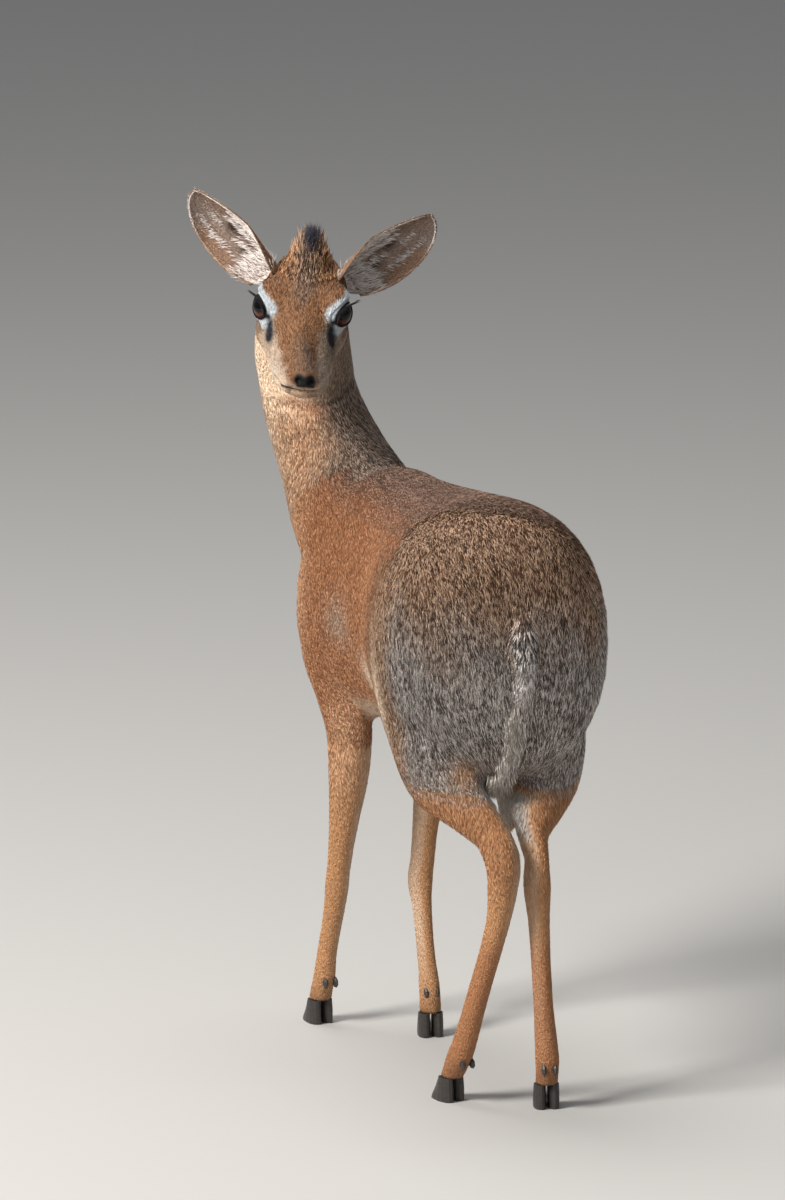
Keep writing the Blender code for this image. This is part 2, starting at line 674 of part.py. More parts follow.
def crest(head):
    """The brush of longer hair on the crown, as a low core with upright locks."""
    rng = np.random.default_rng(CREST_SEED)
    frame = head_frame()
    pieces = [ball("core", CREST_PLACE, (0.0155, 0.0185, 0.0100), segments=20)]
    for _ in range(CREST_LOCKS):
        angle, reach = rng.uniform(0, math.tau), math.sqrt(rng.uniform(0.0, 0.95))
        side, ahead = reach * math.cos(angle), reach * math.sin(angle)
        root = CREST_PLACE + Vector((side * 0.0140, ahead * 0.0165, 0.0070 * math.sqrt(1 - reach * reach)))
        line = Vector((side * 0.20, 0.04 + ahead * 0.18, 1.0)).normalized()
        bend = Vector((side * -0.06, rng.uniform(-0.12, 0.02), 0.0))
        length = CREST_LENGTH * (0.95 - 0.40 * reach) * rng.uniform(0.85, 1.0)
        pieces.append(lock(root, line, length, rng.uniform(0.0022, 0.0030), bend + Vector((0, 0.001, 0))))
    made = fused("crest", pieces)
    made.data.transform(frame)
    return combine(made, set_out(head, GAP), "DIFFERENCE")


def tail(torso):
    """The short hanging tail, as a flat core with a few locks along its edges."""
    rng = np.random.default_rng(TAIL_SEED)
    top = Vector((-0.003, 0.1700, 0.350))
    core = limb(
        "core",
        (
            Ring(top.x, top.y - 0.003, top.z + 0.006, 0.006, 0.004, 0.004),
            Ring(top.x, top.y + 0.004, top.z - 0.010, 0.0085, 0.0055, 0.0055),
            Ring(top.x, top.y + 0.0095, top.z - 0.032, 0.0085, 0.0050, 0.0050),
            Ring(top.x + 0.001, top.y + 0.0095, top.z - 0.052, 0.0058, 0.0036, 0.0036),
            Ring(top.x + 0.001, top.y + 0.0070, top.z - 0.064, 0.0024, 0.0018, 0.0018),
        ),
        steps=3,
        count=14,
    )
    pieces = [core]
    for i in range(TAIL_LOCKS):
        share = (i + 0.5) / TAIL_LOCKS
        side = -1 if i % 2 else 1
        outwards = side * 0.0045 * (1.1 - share)
        behind = 0.004 + 0.006 * math.sin(math.pi * share)
        root = top + Vector((outwards, behind, -0.008 - 0.042 * share))
        line = Vector((side * 0.22, 0.10 - 0.2 * share, -1.0)).normalized()
        bend = Vector((-side * 0.05, -0.06, 0.0))
        pieces.append(lock(root, line, rng.uniform(0.016, 0.021), 0.0026, bend))
    made = fused("tail", pieces)
    return combine(made, set_out(torso, GAP), "DIFFERENCE")


def foot_places():
    """Each foot's name with the leg it ends, its place on the floor, its fetlock and its turn."""
    places = {}
    for kind, table in (("fore", FORELEG), ("hind", HINDLEG)):
        for side in SIDES:
            end, fetlock = table[side][-1], table[side][-3]
            places[f"{kind}_{side}"] = (
                f"{kind}leg_{side}",
                Vector((end.x, end.y, 0.0)),
                Vector((fetlock.x, fetlock.y, fetlock.z)),
                FOOT_TURN[f"{kind}_{side}"],
            )
    return places


def cut_face(head):
    """Opens the eyes, the nostrils and the mouth in the head."""
    frame = head_frame()
    for side in HEAD_SIDES.values():
        looks = on_side(EYE_LOOKS, side).normalized()
        place = on_side(EYE_PLACE, side)
        turn = facing(looks, Vector((0, 0, 1)))
        size = EYE_RADIUS + GAP
        socket = ball("socket", place, (size, size, size), segments=28)
        opening = ball("opening", place + looks * EYE_RADIUS, (0.0094, 0.0066, 0.0085), turn)
        nostril = on_side(NOSTRIL_PLACE, side) + snout_shift(0.11)
        slant = Matrix.Rotation(side * 0.5, 3, "Y")
        hole = ball("nostril", nostril, (0.0017, 0.0042, 0.0026), slant, 16)
        for cutter in (opening, socket, hole):
            cutter.data.transform(frame)
            combine(head, cutter, "DIFFERENCE")
    rows = []
    for share in np.linspace(-1.0, 1.0, 9):
        side = math.sin(share * math.pi / 2)
        ahead = math.cos(share * math.pi / 2)
        y = MOUTH_CORNER.y + (MOUTH_FRONT.y + 0.004 - MOUTH_CORNER.y) * ahead
        z = MOUTH_CORNER.z + (MOUTH_FRONT.z - MOUTH_CORNER.z) * ahead
        rows.append(Vector((side * 0.0205, y, z)) + snout_shift(y))
    shape = bmesh.new()
    loops = []
    for low, inward in ((-0.0004, 0.0), (0.0004, 0.0), (0.0004, 1.0), (-0.0004, 1.0)):
        centre = Vector((0, 0.070, MOUTH_CORNER.z))
        rise = Vector((0, 0, low))
        loops.append([shape.verts.new(row.lerp(centre, 0.35 * inward) + rise) for row in rows])
    for near, far in zip(loops, loops[1:] + loops[:1]):
        for i in range(len(rows) - 1):
            shape.faces.new((near[i], near[i + 1], far[i + 1], far[i]))
    for i in (0, -1):
        shape.faces.new([loop[i] for loop in loops])
    bmesh.ops.recalc_face_normals(shape, faces=shape.faces)
    mouth = object_from("mouth", shape)
    mouth.data.transform(frame)
    combine(head, mouth, "DIFFERENCE")


def eye(name, side):
    """An eyeball, which turns its darker front outwards."""
    made = ball(name, Vector((0, 0, 0)), (EYE_RADIUS, EYE_RADIUS, EYE_RADIUS), segments=20)
    turn = facing(on_side(EYE_LOOKS, side).normalized())
    made.data.transform(head_frame() @ Matrix.Translation(on_side(EYE_PLACE, side)) @ turn.to_4x4())
    return made


def build():
    """Every node of the animal, by name."""
    nodes = {}
    body = whole_flesh()
    frame = head_frame()
    nodes["head"] = part_off(body, "head", frame, (-0.075, -0.070, HEAD_CUT), (0.075, 0.150, 0.090))
    place = Matrix.Translation(NECK_CUT_PLACE) @ facing(NECK_CUT_LINE).to_4x4()
    nodes["neck"] = part_off(body, "neck", place, (-0.12, -0.12, 0.0), (0.12, 0.12, 0.22))
    level = Matrix.Identity(4)
    for side, sign in SIDES.items():
        for kind, low, high, top, middle in (
            ("foreleg", -0.20, -0.02, FORELEG_CUT, 0.012),
            ("hindleg", 0.02, 0.22, HINDLEG_CUT, -0.003),
        ):
            near, far = sorted((middle + sign * GAP, sign * 0.12))
            leg = part_off(body, f"{kind}_{side}", level, (near, low, CORONET_HEIGHT), (far, high, top))
            nodes[leg.name] = leg
    nodes["torso"] = combine(body, block("below", level, (-0.2, -0.3, -0.05), (0.2, 0.3, 0.19)), "DIFFERENCE")
    body.name = "torso"
    for foot, (leg, place, fetlock, turn) in foot_places().items():
        for half, inner in (("outer", 1.0), ("inner", -1.0)):
            inner *= 1.0 if foot.endswith("left") else -1.0
            nodes[f"hoof_{foot}_{half}"] = hoof(f"hoof_{foot}_{half}", place, turn, inner)
            nub = f"dewclaw_{foot}_{half}"
            nodes[nub] = dewclaw(nub, fetlock, turn, inner, nodes[leg])
    smooth_head = copy_of(nodes["head"], "smooth_head")
    cut_face(nodes["head"])
    for side, sign in HEAD_SIDES.items():
        place, line = on_side(EAR_PLACE, sign), on_side(EAR_LINES[side], sign)
        leaf = ear(f"ear_{side}", place, line, on_side(EAR_OPENING, sign))
        nodes[leaf.name] = combine(leaf, set_out(smooth_head, GAP), "DIFFERENCE")
        nodes[f"eye_{side}"] = eye(f"eye_{side}", sign)
    nodes["crest"] = crest(smooth_head)
    drop(smooth_head)
    nodes["tail"] = tail(nodes["torso"])
    return nodes


def main():
    clear_scene()
    nodes = build()
    group = bpy.data.collections.new("dik_dik")
    bpy.context.scene.collection.children.link(group)
    finishes = {
        name: finish_of(name, colour, GLOSSY if name in GLOSSY_COATS else MATT)
        for name, colour in COATS.items()
    }
    for name, obj in nodes.items():
        coat = next(value for key, value in COAT_OF.items() if name.startswith(key))
        obj.data.materials.clear()
        obj.data.materials.append(finishes[coat])
        obj.data.transform(Matrix.Translation(-BOX_MIDDLE))
        if coat != "horn":
            obj.data.shade_smooth()
        bpy.context.scene.collection.objects.unlink(obj)
        group.objects.link(obj)


main()
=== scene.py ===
import logging
import math
from dataclasses import dataclass
from enum import Enum

import bmesh
import bpy
import numpy as np
from bpy.types import Material, Node, NodeTree, Object
from mathutils import Matrix, Vector
from mathutils.bvhtree import BVHTree


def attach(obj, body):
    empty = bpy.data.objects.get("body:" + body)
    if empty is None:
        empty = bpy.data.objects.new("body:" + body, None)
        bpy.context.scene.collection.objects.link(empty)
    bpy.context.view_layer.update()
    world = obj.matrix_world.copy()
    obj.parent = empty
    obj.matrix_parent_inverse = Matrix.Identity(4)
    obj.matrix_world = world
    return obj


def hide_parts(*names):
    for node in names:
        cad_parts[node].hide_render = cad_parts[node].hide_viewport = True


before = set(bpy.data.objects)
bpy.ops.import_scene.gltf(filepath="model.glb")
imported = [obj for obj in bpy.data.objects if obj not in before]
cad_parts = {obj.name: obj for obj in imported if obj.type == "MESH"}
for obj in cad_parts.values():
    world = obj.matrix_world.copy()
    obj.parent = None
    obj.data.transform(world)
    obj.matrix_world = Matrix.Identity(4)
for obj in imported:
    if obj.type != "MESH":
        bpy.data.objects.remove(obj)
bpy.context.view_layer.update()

logging.basicConfig(level=logging.INFO, format="%(message)s")
log = logging.getLogger("dik_dik")

Array = np.ndarray
Draw = np.random.Generator
Triple = tuple[float, float, float]
MERGE = 1e-6
# How far the skin under long and short hair goes toward the coat's dark tone: the dark undercoat, and painted
# shade in the gaps between tufts.
UNDERCOAT_AND_SHADE_LONG = 0.72
UNDERCOAT_AND_SHADE_SHORT = 0.35
LEGS = ("foreleg_left", "foreleg_right", "hindleg_left", "hindleg_right")
BODY = ("torso", "neck", "head") + LEGS
EARS = ("ear_left", "ear_right")


def smooth(low: float, high: float, value: Array) -> Array:
    """A soft step.

    Args:
        low: the value where the step starts.
        high: the value where it ends.
        value: where it is read.

    Returns:
        0 below low, 1 above high, and an even ease between them.
    """
    share = np.clip((value - low) / (high - low), 0.0, 1.0)
    return share * share * (3.0 - 2.0 * share)


def bell(middle: float, width: float, value: Array) -> Array:
    """A soft hump of height 1 round the middle."""
    return np.exp(-(((value - middle) / width) ** 2))


def unit(vectors: Array) -> Array:
    """The vectors at length 1."""
    size = np.linalg.norm(vectors, axis=-1, keepdims=True)
    return vectors / np.maximum(size, 1e-12)


def blob(points: Array, place: Triple, size: Triple) -> Array:
    """A soft spot in space.

    Args:
        points: the places that are asked about.
        place: the middle of the spot.
        size: its half size along each axis.

    Returns:
        1 in the middle, falling to nearly 0 past the half size.
    """
    away = (points - np.array(place)) / np.array(size)
    return np.exp(-1.3 * np.sum(away * away, axis=-1))


def ripple(points: Array, size: float, seed: int) -> Array:
    """Soft uneven patches of about one size, from -1 to 1.

    Args:
        points: the places.
        size: how wide a patch is.
        seed: the seed of the patches.

    Returns:
        A value for each place.
    """
    rng = np.random.default_rng(seed)
    total = np.zeros(len(points))
    for _ in range(7):
        way = unit(rng.normal(size=3)) * math.tau / (size * rng.uniform(0.7, 1.6))
        total += np.sin(points @ way + rng.uniform(0, math.tau))
    return total / 3.2


def linear(red: float, green: float, blue: float) -> Array:
    """A colour of 0 to 255 as the light that it gives."""
    value = np.array((red, green, blue)) / 255.0
    return np.where(value <= 0.04045, value / 12.92, ((value + 0.055) / 1.055) ** 2.4)


@dataclass(frozen=True)
class HeadFrame:
    """Where the head sits and how it turns: +Y runs along the nose and +X to the animal's right."""

    origin: Triple = (0.0233, -0.1397, 0.5350)
    yaw: float = math.radians(25.0)
    pitch: float = math.radians(-33.0)
    roll: float = math.radians(5.5)
    length: float = 0.115
    snout_start: float = 0.055
    snout_turn: float = 0.0100

    def matrix(self) -> Matrix:
        """The matrix from the head's own frame to the animal's."""
        turned = Matrix.Rotation(-self.yaw, 4, "Z") @ Matrix.Rotation(self.pitch, 4, "X")
        return Matrix.Translation(self.origin) @ turned @ Matrix.Rotation(-self.roll, 4, "Y")

    def turn(self) -> Array:
        """The turn alone, as an array."""
        return np.array(self.matrix().to_3x3())

    def inwards(self, points: Array) -> Array:
        """Places of the animal in the head's frame."""
        return (points - np.array(self.origin)) @ self.turn()

    def outwards(self, points: Array) -> Array:
        """Places of the head's frame in the animal's."""
        return points @ self.turn().T + np.array(self.origin)

    def swing(self, y: Array) -> Array:
        """How far the soft snout swings aside at this distance along the nose."""
        share = np.clip((y - self.snout_start) / (self.length - self.snout_start), 0.0, 1.0)
        return -self.snout_turn * share**1.5

    def straight(self, points: Array) -> Array:
        """Places in the head's frame with the snout's swing taken out, so that both sides are alike.

        Args:
            points: the places.

        Returns:
            X across the head, Y along the nose and Z up, for each.
        """
        inside = self.inwards(points)
        inside[:, 0] -= self.swing(inside[:, 1])
        return inside


HEAD = HeadFrame()


@dataclass(frozen=True)
class EyeShape:
    """The eyes' place, look and size in the head's frame."""

    place: Triple = (0.0225, 0.045, 0.0075)
    looks: Triple = (0.84, 0.46, 0.28)
    radius: float = 0.0118
    half_width: float = 0.0086
    half_height: float = 0.0070

    def centre(self, side: float) -> Array:
        """The middle of one eyeball in the animal's frame."""
        return np.array(HEAD.matrix() @ Vector((self.place[0] * side, self.place[1], self.place[2])))

    def axes(self, side: float) -> Array:
        """Columns: across the eye, up it and out along its look, in the animal's frame.

        Args:
            side: -1 for the left eye and 1 for the right.

        Returns:
            The three columns.
        """
        look = Vector((self.looks[0] * side, self.looks[1], self.looks[2])).normalized()
        across = Vector((0, 0, 1)).cross(look).normalized()
        inside = Matrix((across, look.cross(across), look)).transposed()
        return np.array(HEAD.matrix().to_3x3() @ inside)

    def local(self, points: Array, side: float) -> Array:
        """Places of the animal as seen from the middle of one eye."""
        return (points - self.centre(side)) @ self.axes(side)

    def outwards(self, local: Array, side: float) -> Array:
        """Places seen from the middle of one eye in the animal's frame."""
        return local @ self.axes(side).T + self.centre(side)


EYE = EyeShape()
SIDES = {"left": -1.0, "right": 1.0}


@dataclass(frozen=True)
class EarShape:
    """A leaf-shaped ear, rolled at its root and cupped towards its opening."""

    side: str
    line: Triple
    place: Triple = (0.0235, 0.007, 0.0085)
    opening: Triple = (0.34, 0.93, -0.05)
    length: float = 0.084
    half_width: float = 0.0280
    sag: float = 0.0056
    wall: float = 0.0015

    def matrix(self) -> Matrix:
        """The matrix from the ear's own frame to the animal's: across it, out of its opening, along it.

        Returns:
            The matrix.
        """
        sign = SIDES[self.side]
        z = Vector((self.line[0] * sign, self.line[1], self.line[2])).normalized()
        x = Vector((self.opening[0] * sign, self.opening[1], self.opening[2])).cross(z).normalized()
        turn = Matrix((x, z.cross(x), z)).transposed().to_4x4()
        place = Vector((self.place[0] * sign, self.place[1], self.place[2]))
        return HEAD.matrix() @ Matrix.Translation(place) @ turn

    def lower(self) -> float:
        """1 where the ear's own +X runs down to its lower edge, and -1 where it runs up."""
        turn = HEAD.matrix().to_3x3().inverted() @ self.matrix().to_3x3()
        return -math.copysign(1.0, turn.col[0].z)

    @staticmethod
    def hollow(u: Array, v: Array) -> Array:
        """How far each place on the leaf lies in the deep hollow of the cup, which the long hairs leave bare
        and which is painted dark as shade.
        """
        deep = bell(0.0, 1.0, np.hypot((u - 0.47) / 0.085, (v - 0.10) / 0.26))
        return deep + 0.7 * bell(0.0, 1.0, np.hypot((u - 0.27) / 0.090, (v - 0.38) / 0.16))

    def surface(self, u: Array, v: Array, inset: float) -> Array:
        """Places on the ear's leaf.

        Args:
            u: the share of the way from root to tip.
            v: across the leaf, -1 at the upper edge and 1 at the lower.
            inset: how far inside the back of the ear the places lie.

        Returns:
            The places in the animal's frame.
        """
        u, v = np.broadcast_arrays(np.asarray(u, float), np.asarray(v, float))
        rise = np.sin(math.pi * (0.20 + 0.80 * np.minimum(u, 1.0)) ** 0.90)
        half = self.half_width * np.maximum(rise, 0.0) ** 0.55 + self.wall
        roll = np.radians(215 - 125 * np.minimum(1.0, u / 0.5) ** 0.75)
        radius = 2 * half / roll
        angle = roll / 2 * v * self.lower() * (1 - 0.5 * inset / half)
        reach = radius - inset * (1 - 0.5 * u)
        across = self.lower() * self.sag * np.sin(math.pi * u) + np.sin(angle) * reach
        depth = radius - np.cos(angle) * reach - 0.006 * np.sin(math.pi * u)
        height = u * (self.length - 0.7 * inset) + 0.004 * v * v * (1 - u)
        local = np.stack([across, depth, height], axis=-1)
        turn = np.array(self.matrix())
        return local @ turn[:3, :3].T + turn[:3, 3]

    def where(self, points: Array) -> tuple[Array, Array]:
        """How far along the ear (u) and across it (v) places lie, roughly.

        Args:
            points: the places.

        Returns:
            u and v for each place.
        """
        back = np.array(self.matrix().inverted())
        local = points @ back[:3, :3].T + back[:3, 3]
        u = np.clip(local[:, 2] / self.length, 0.0, 1.0)
        return u, np.clip(local[:, 0] * self.lower() / self.half_width, -1.0, 1.0)


EAR_SHAPES = {
    "ear_left": EarShape("left", (0.72, -0.10, 0.68)),
    "ear_right": EarShape("right", (0.70, -0.12, 0.70)),
}


@dataclass
class Shell:
    """A triangle mesh as arrays: its points, its faces and the body part of each point."""

    points: Array
    faces: Array
    part: Array | None = None

    def normals(self) -> Array:
        """The outward direction at each point.

        Returns:
            A direction of length 1 for each point.
        """
        a, b, c = (self.points[self.faces[:, i]] for i in range(3))
        flat = np.cross(b - a, c - a)
        total = np.zeros_like(self.points)
        for i in range(3):
            for axis in range(3):
                total[:, axis] += np.bincount(self.faces[:, i], flat[:, axis], len(self.points))
        return unit(total)

    def edges(self) -> Array:
        """Each edge once, as pairs of points."""
        pairs = np.concatenate([self.faces[:, [0, 1]], self.faces[:, [1, 2]], self.faces[:, [2, 0]]])
        return np.unique(np.sort(pairs, axis=1), axis=0)

    def soften(self, values: Array, rounds: int, share: Array | float = 0.5) -> Array:
        """Values at the points, evened out along the edges.

        Args:
            values: a value or a place for each point.
            rounds: how often it is evened.
            share: how far each time.

        Returns:
            The evened values.
        """
        edges = self.edges()
        near, far = edges[:, 0], edges[:, 1]
        count = len(self.points)
        degree = np.bincount(near, minlength=count) + np.bincount(far, minlength=count)
        degree = np.maximum(degree, 1)[:, None]
        result = values.reshape(count, -1).astype(float)
        weight = np.broadcast_to(np.asarray(share, float).reshape(-1, 1), (count, 1))
        for _ in range(rounds):
            total = np.zeros_like(result)
            for axis in range(result.shape[1]):
                total[:, axis] = np.bincount(near, result[far, axis], count)
                total[:, axis] += np.bincount(far, result[near, axis], count)
            result += weight * (total / degree - result)
        return result.reshape(values.shape)

    def largest(self) -> "Shell":
        """The largest piece that hangs together.

        Returns:
            The piece with the most faces.
        """
        edges = self.edges()
        label = np.arange(len(self.points))
        while True:
            low = np.minimum(label[edges[:, 0]], label[edges[:, 1]])
            new = label.copy()
            np.minimum.at(new, edges[:, 0], low)
            np.minimum.at(new, edges[:, 1], low)
            new = new[new]
            if (new == label).all():
                break
            label = new
        keep = label == np.bincount(label).argmax()
        index = np.cumsum(keep) - 1
        faces = self.faces[keep[self.faces[:, 0]]]
        return Shell(self.points[keep], index[faces])


def joined(shells: list[Shell]) -> Shell:
    """Several shells as one.

    Args:
        shells: the shells, all with their body parts or none.

    Returns:
        The shell of them all.
    """
    starts = np.cumsum([0] + [len(shell.points) for shell in shells])
    faces = [shell.faces + start for shell, start in zip(shells, starts)]
    part = None if shells[0].part is None else np.concatenate([s.part.astype("U16") for s in shells])
    return Shell(np.concatenate([shell.points for shell in shells]), np.concatenate(faces), part)


def shell_of(mesh: bpy.types.Mesh) -> Shell:
    """The arrays of a mesh, in triangles.

    Args:
        mesh: the mesh as Blender has it.

    Returns:
        Its points and its triangles.
    """
    mesh.calc_loop_triangles()
    points = np.empty(len(mesh.vertices) * 3, np.float32)
    mesh.vertices.foreach_get("co", points)
    faces = np.empty(len(mesh.loop_triangles) * 3, np.int32)
    mesh.loop_triangles.foreach_get("vertices", faces)
    return Shell(points.reshape(-1, 3).astype(float), faces.reshape(-1, 3).astype(np.int64))


def placed(name: str, data: bpy.types.ID) -> Object:
    """A new object in the scene.

    Args:
        name: its name.
        data: its mesh, light or camera.

    Returns:
        The object.
    """
    obj = bpy.data.objects.new(name, data)
    bpy.context.scene.collection.objects.link(obj)
    return obj


def object_of(name: str, shell: Shell, colours: Array | None = None) -> Object:
    """A smooth mesh object from arrays, with its markings as a colour at each point.

    Args:
        name: the object's name.
        shell: its points and faces.
        colours: red, green and blue at each point.

    Returns:
        The new object, in the scene.
    """
    mesh = bpy.data.meshes.new(name)
    mesh.vertices.add(len(shell.points))
    mesh.vertices.foreach_set("co", shell.points.astype(np.float32).ravel())
    mesh.loops.add(len(shell.faces) * 3)
    mesh.loops.foreach_set("vertex_index", shell.faces.astype(np.int32).ravel())
    mesh.polygons.add(len(shell.faces))
    mesh.polygons.foreach_set("loop_start", np.arange(0, len(shell.faces) * 3, 3, dtype=np.int32))
    mesh.polygons.foreach_set("use_smooth", np.ones(len(shell.faces), bool))
    mesh.update(calc_edges=True)
    if colours is not None:
        layer = mesh.color_attributes.new("markings", "FLOAT_COLOR", "POINT")
        full = np.ones((len(shell.points), 4), np.float32)
        full[:, :3] = colours
        layer.data.foreach_set("color", full.ravel())
    return placed(name, mesh)


def drop(obj: Object) -> None:
    """Removes a helper object and its mesh.

    Args:
        obj: the object.
    """
    mesh = obj.data
    bpy.data.objects.remove(obj)
    bpy.data.meshes.remove(mesh)


def applied(obj: Object) -> Shell:
    """The arrays of an object with its modifiers applied; the object goes.

    Args:
        obj: the object, which is deleted.

    Returns:
        The mesh that its modifiers make.
    """
    graph = bpy.context.evaluated_depsgraph_get()
    mesh = bpy.data.meshes.new_from_object(obj.evaluated_get(graph))
    shell = shell_of(mesh)
    bpy.data.meshes.remove(mesh)
    drop(obj)
    return shell


@dataclass(frozen=True)
class Tone:
    """The three shades of one part of the coat: the hair's dark, its middle and its light."""

    dark: tuple[int, int, int]
    middle: tuple[int, int, int]
    light: tuple[int, int, int]

    def shades(self) -> Array:
        """The three shades as light, one a row."""
        return np.array([linear(*self.dark), linear(*self.middle), linear(*self.light)])


FLANK = Tone((94, 55, 33), (166, 111, 74), (222, 174, 134))
BACK = Tone((50, 36, 29), (134, 104, 88), (200, 168, 148))
NAPE = Tone((30, 27, 25), (126, 108, 96), (224, 200, 180))
NECK_SIDE = Tone((124, 82, 56), (212, 168, 130), (246, 216, 186))
THROAT = Tone((190, 156, 126), (232, 206, 178), (250, 234, 214))
RUMP = Tone((44, 28, 19), (150, 108, 80), (255, 220, 188))
LOW_RUMP = Tone((34, 28, 25), (156, 142, 134), (255, 254, 252))
TAIL = Tone((34, 29, 28), (110, 101, 97), (230, 224, 219))
VENT = Tone((124, 116, 110), (176, 168, 160), (220, 212, 204))
LEG = Tone((120, 80, 50), (190, 142, 100), (232, 190, 150))
INNER_LEG = Tone((170, 140, 114), (202, 174, 148), (228, 208, 188))
BELLY = Tone((176, 146, 118), (214, 192, 168), (236, 222, 206))
ELBOW = Tone((112, 92, 76), (170, 146, 126), (204, 184, 166))
FACE = Tone((38, 24, 16), (146, 100, 66), (206, 158, 116))
CROWN = Tone((20, 18, 18), (116, 88, 70), (200, 170, 146))
CHEEK = Tone((86, 72, 60), (170, 146, 124), (228, 208, 188))
MUZZLE = Tone((166, 138, 112), (222, 202, 180), (248, 236, 222))
NOSE_RIDGE = Tone((46, 34, 27), (128, 94, 70), (184, 146, 114))
EYE_RING = Tone((150, 160, 168), (208, 213, 217), (238, 242, 244))
GLAND = Tone((16, 16, 20), (40, 40, 46), (80, 80, 90))
LID = Tone((6, 6, 7), (14, 13, 14), (26, 25, 27))
EAR_BACK = Tone((92, 64, 46), (152, 114, 84), (190, 154, 122))
EAR_CUP = Tone((70, 52, 42), (142, 116, 100), (210, 186, 170))
EAR_GREY = Tone((88, 74, 66), (168, 148, 136), (222, 206, 196))
# Painted shade tone for the deep hollow of the ear's cup.
EAR_HOLLOW_SHADE = Tone((20, 13, 9), (52, 33, 22), (110, 76, 52))
FRINGE = Tone((164, 152, 146), (218, 208, 202), (248, 243, 240))
# Painted shadow tone for the loin crease.
CREASE_SHADE = Tone((14, 11, 10), (44, 33, 27), (98, 76, 62))
CREST = Tone((46, 36, 30), (140, 100, 74), (206, 164, 128))
CREST_PATCH = Tone((12, 14, 20), (28, 32, 44), (58, 62, 78))
NOSE_PAD = Tone((5, 5, 6), (12, 12, 13), (26, 26, 28))
RUMP_HEM = (0.219, 0.226)
LOIN_LINE = (
    (-0.080, 0.1360),
    (-0.052, 0.1424),
    (-0.0139, 0.1287),
    (0.0046, 0.0976),
    (0.0205, 0.0850),
    (0.0315, 0.0900),
    (0.0600, 0.0800),
)
MOUTH_LINE = ((0.088, -0.0150), (0.096, -0.0122), (0.104, -0.0094), (0.110, -0.0070), (0.116, -0.0054))
JAW_EDGE = (
    (-0.012, 0.4600),
    (-0.002, 0.4540),
    (0.007, 0.4485),
    (0.019, 0.4440),
    (0.033, 0.4430),
    (0.050, 0.4465),
)


def loin_line(points: Array) -> Array:
    """How far back the longer hair of the rump starts, across the back."""
    return np.interp(points[:, 0], *zip(*LOIN_LINE))


class Paint:
    """The three shades at a set of places, with tones laid over them one after another."""

    def __init__(self, base: Tone, count: int) -> None:
        """Starts with one tone everywhere."""
        self.shades = np.tile(base.shades(), (count, 1, 1))

    def lay(self, tone: Tone, share: Array) -> None:
        """Lays a tone over the shades by a share at each place."""
        share = np.clip(share, 0.0, 1.0)[:, None, None]
        self.shades += (tone.shades()[None] - self.shades) * share


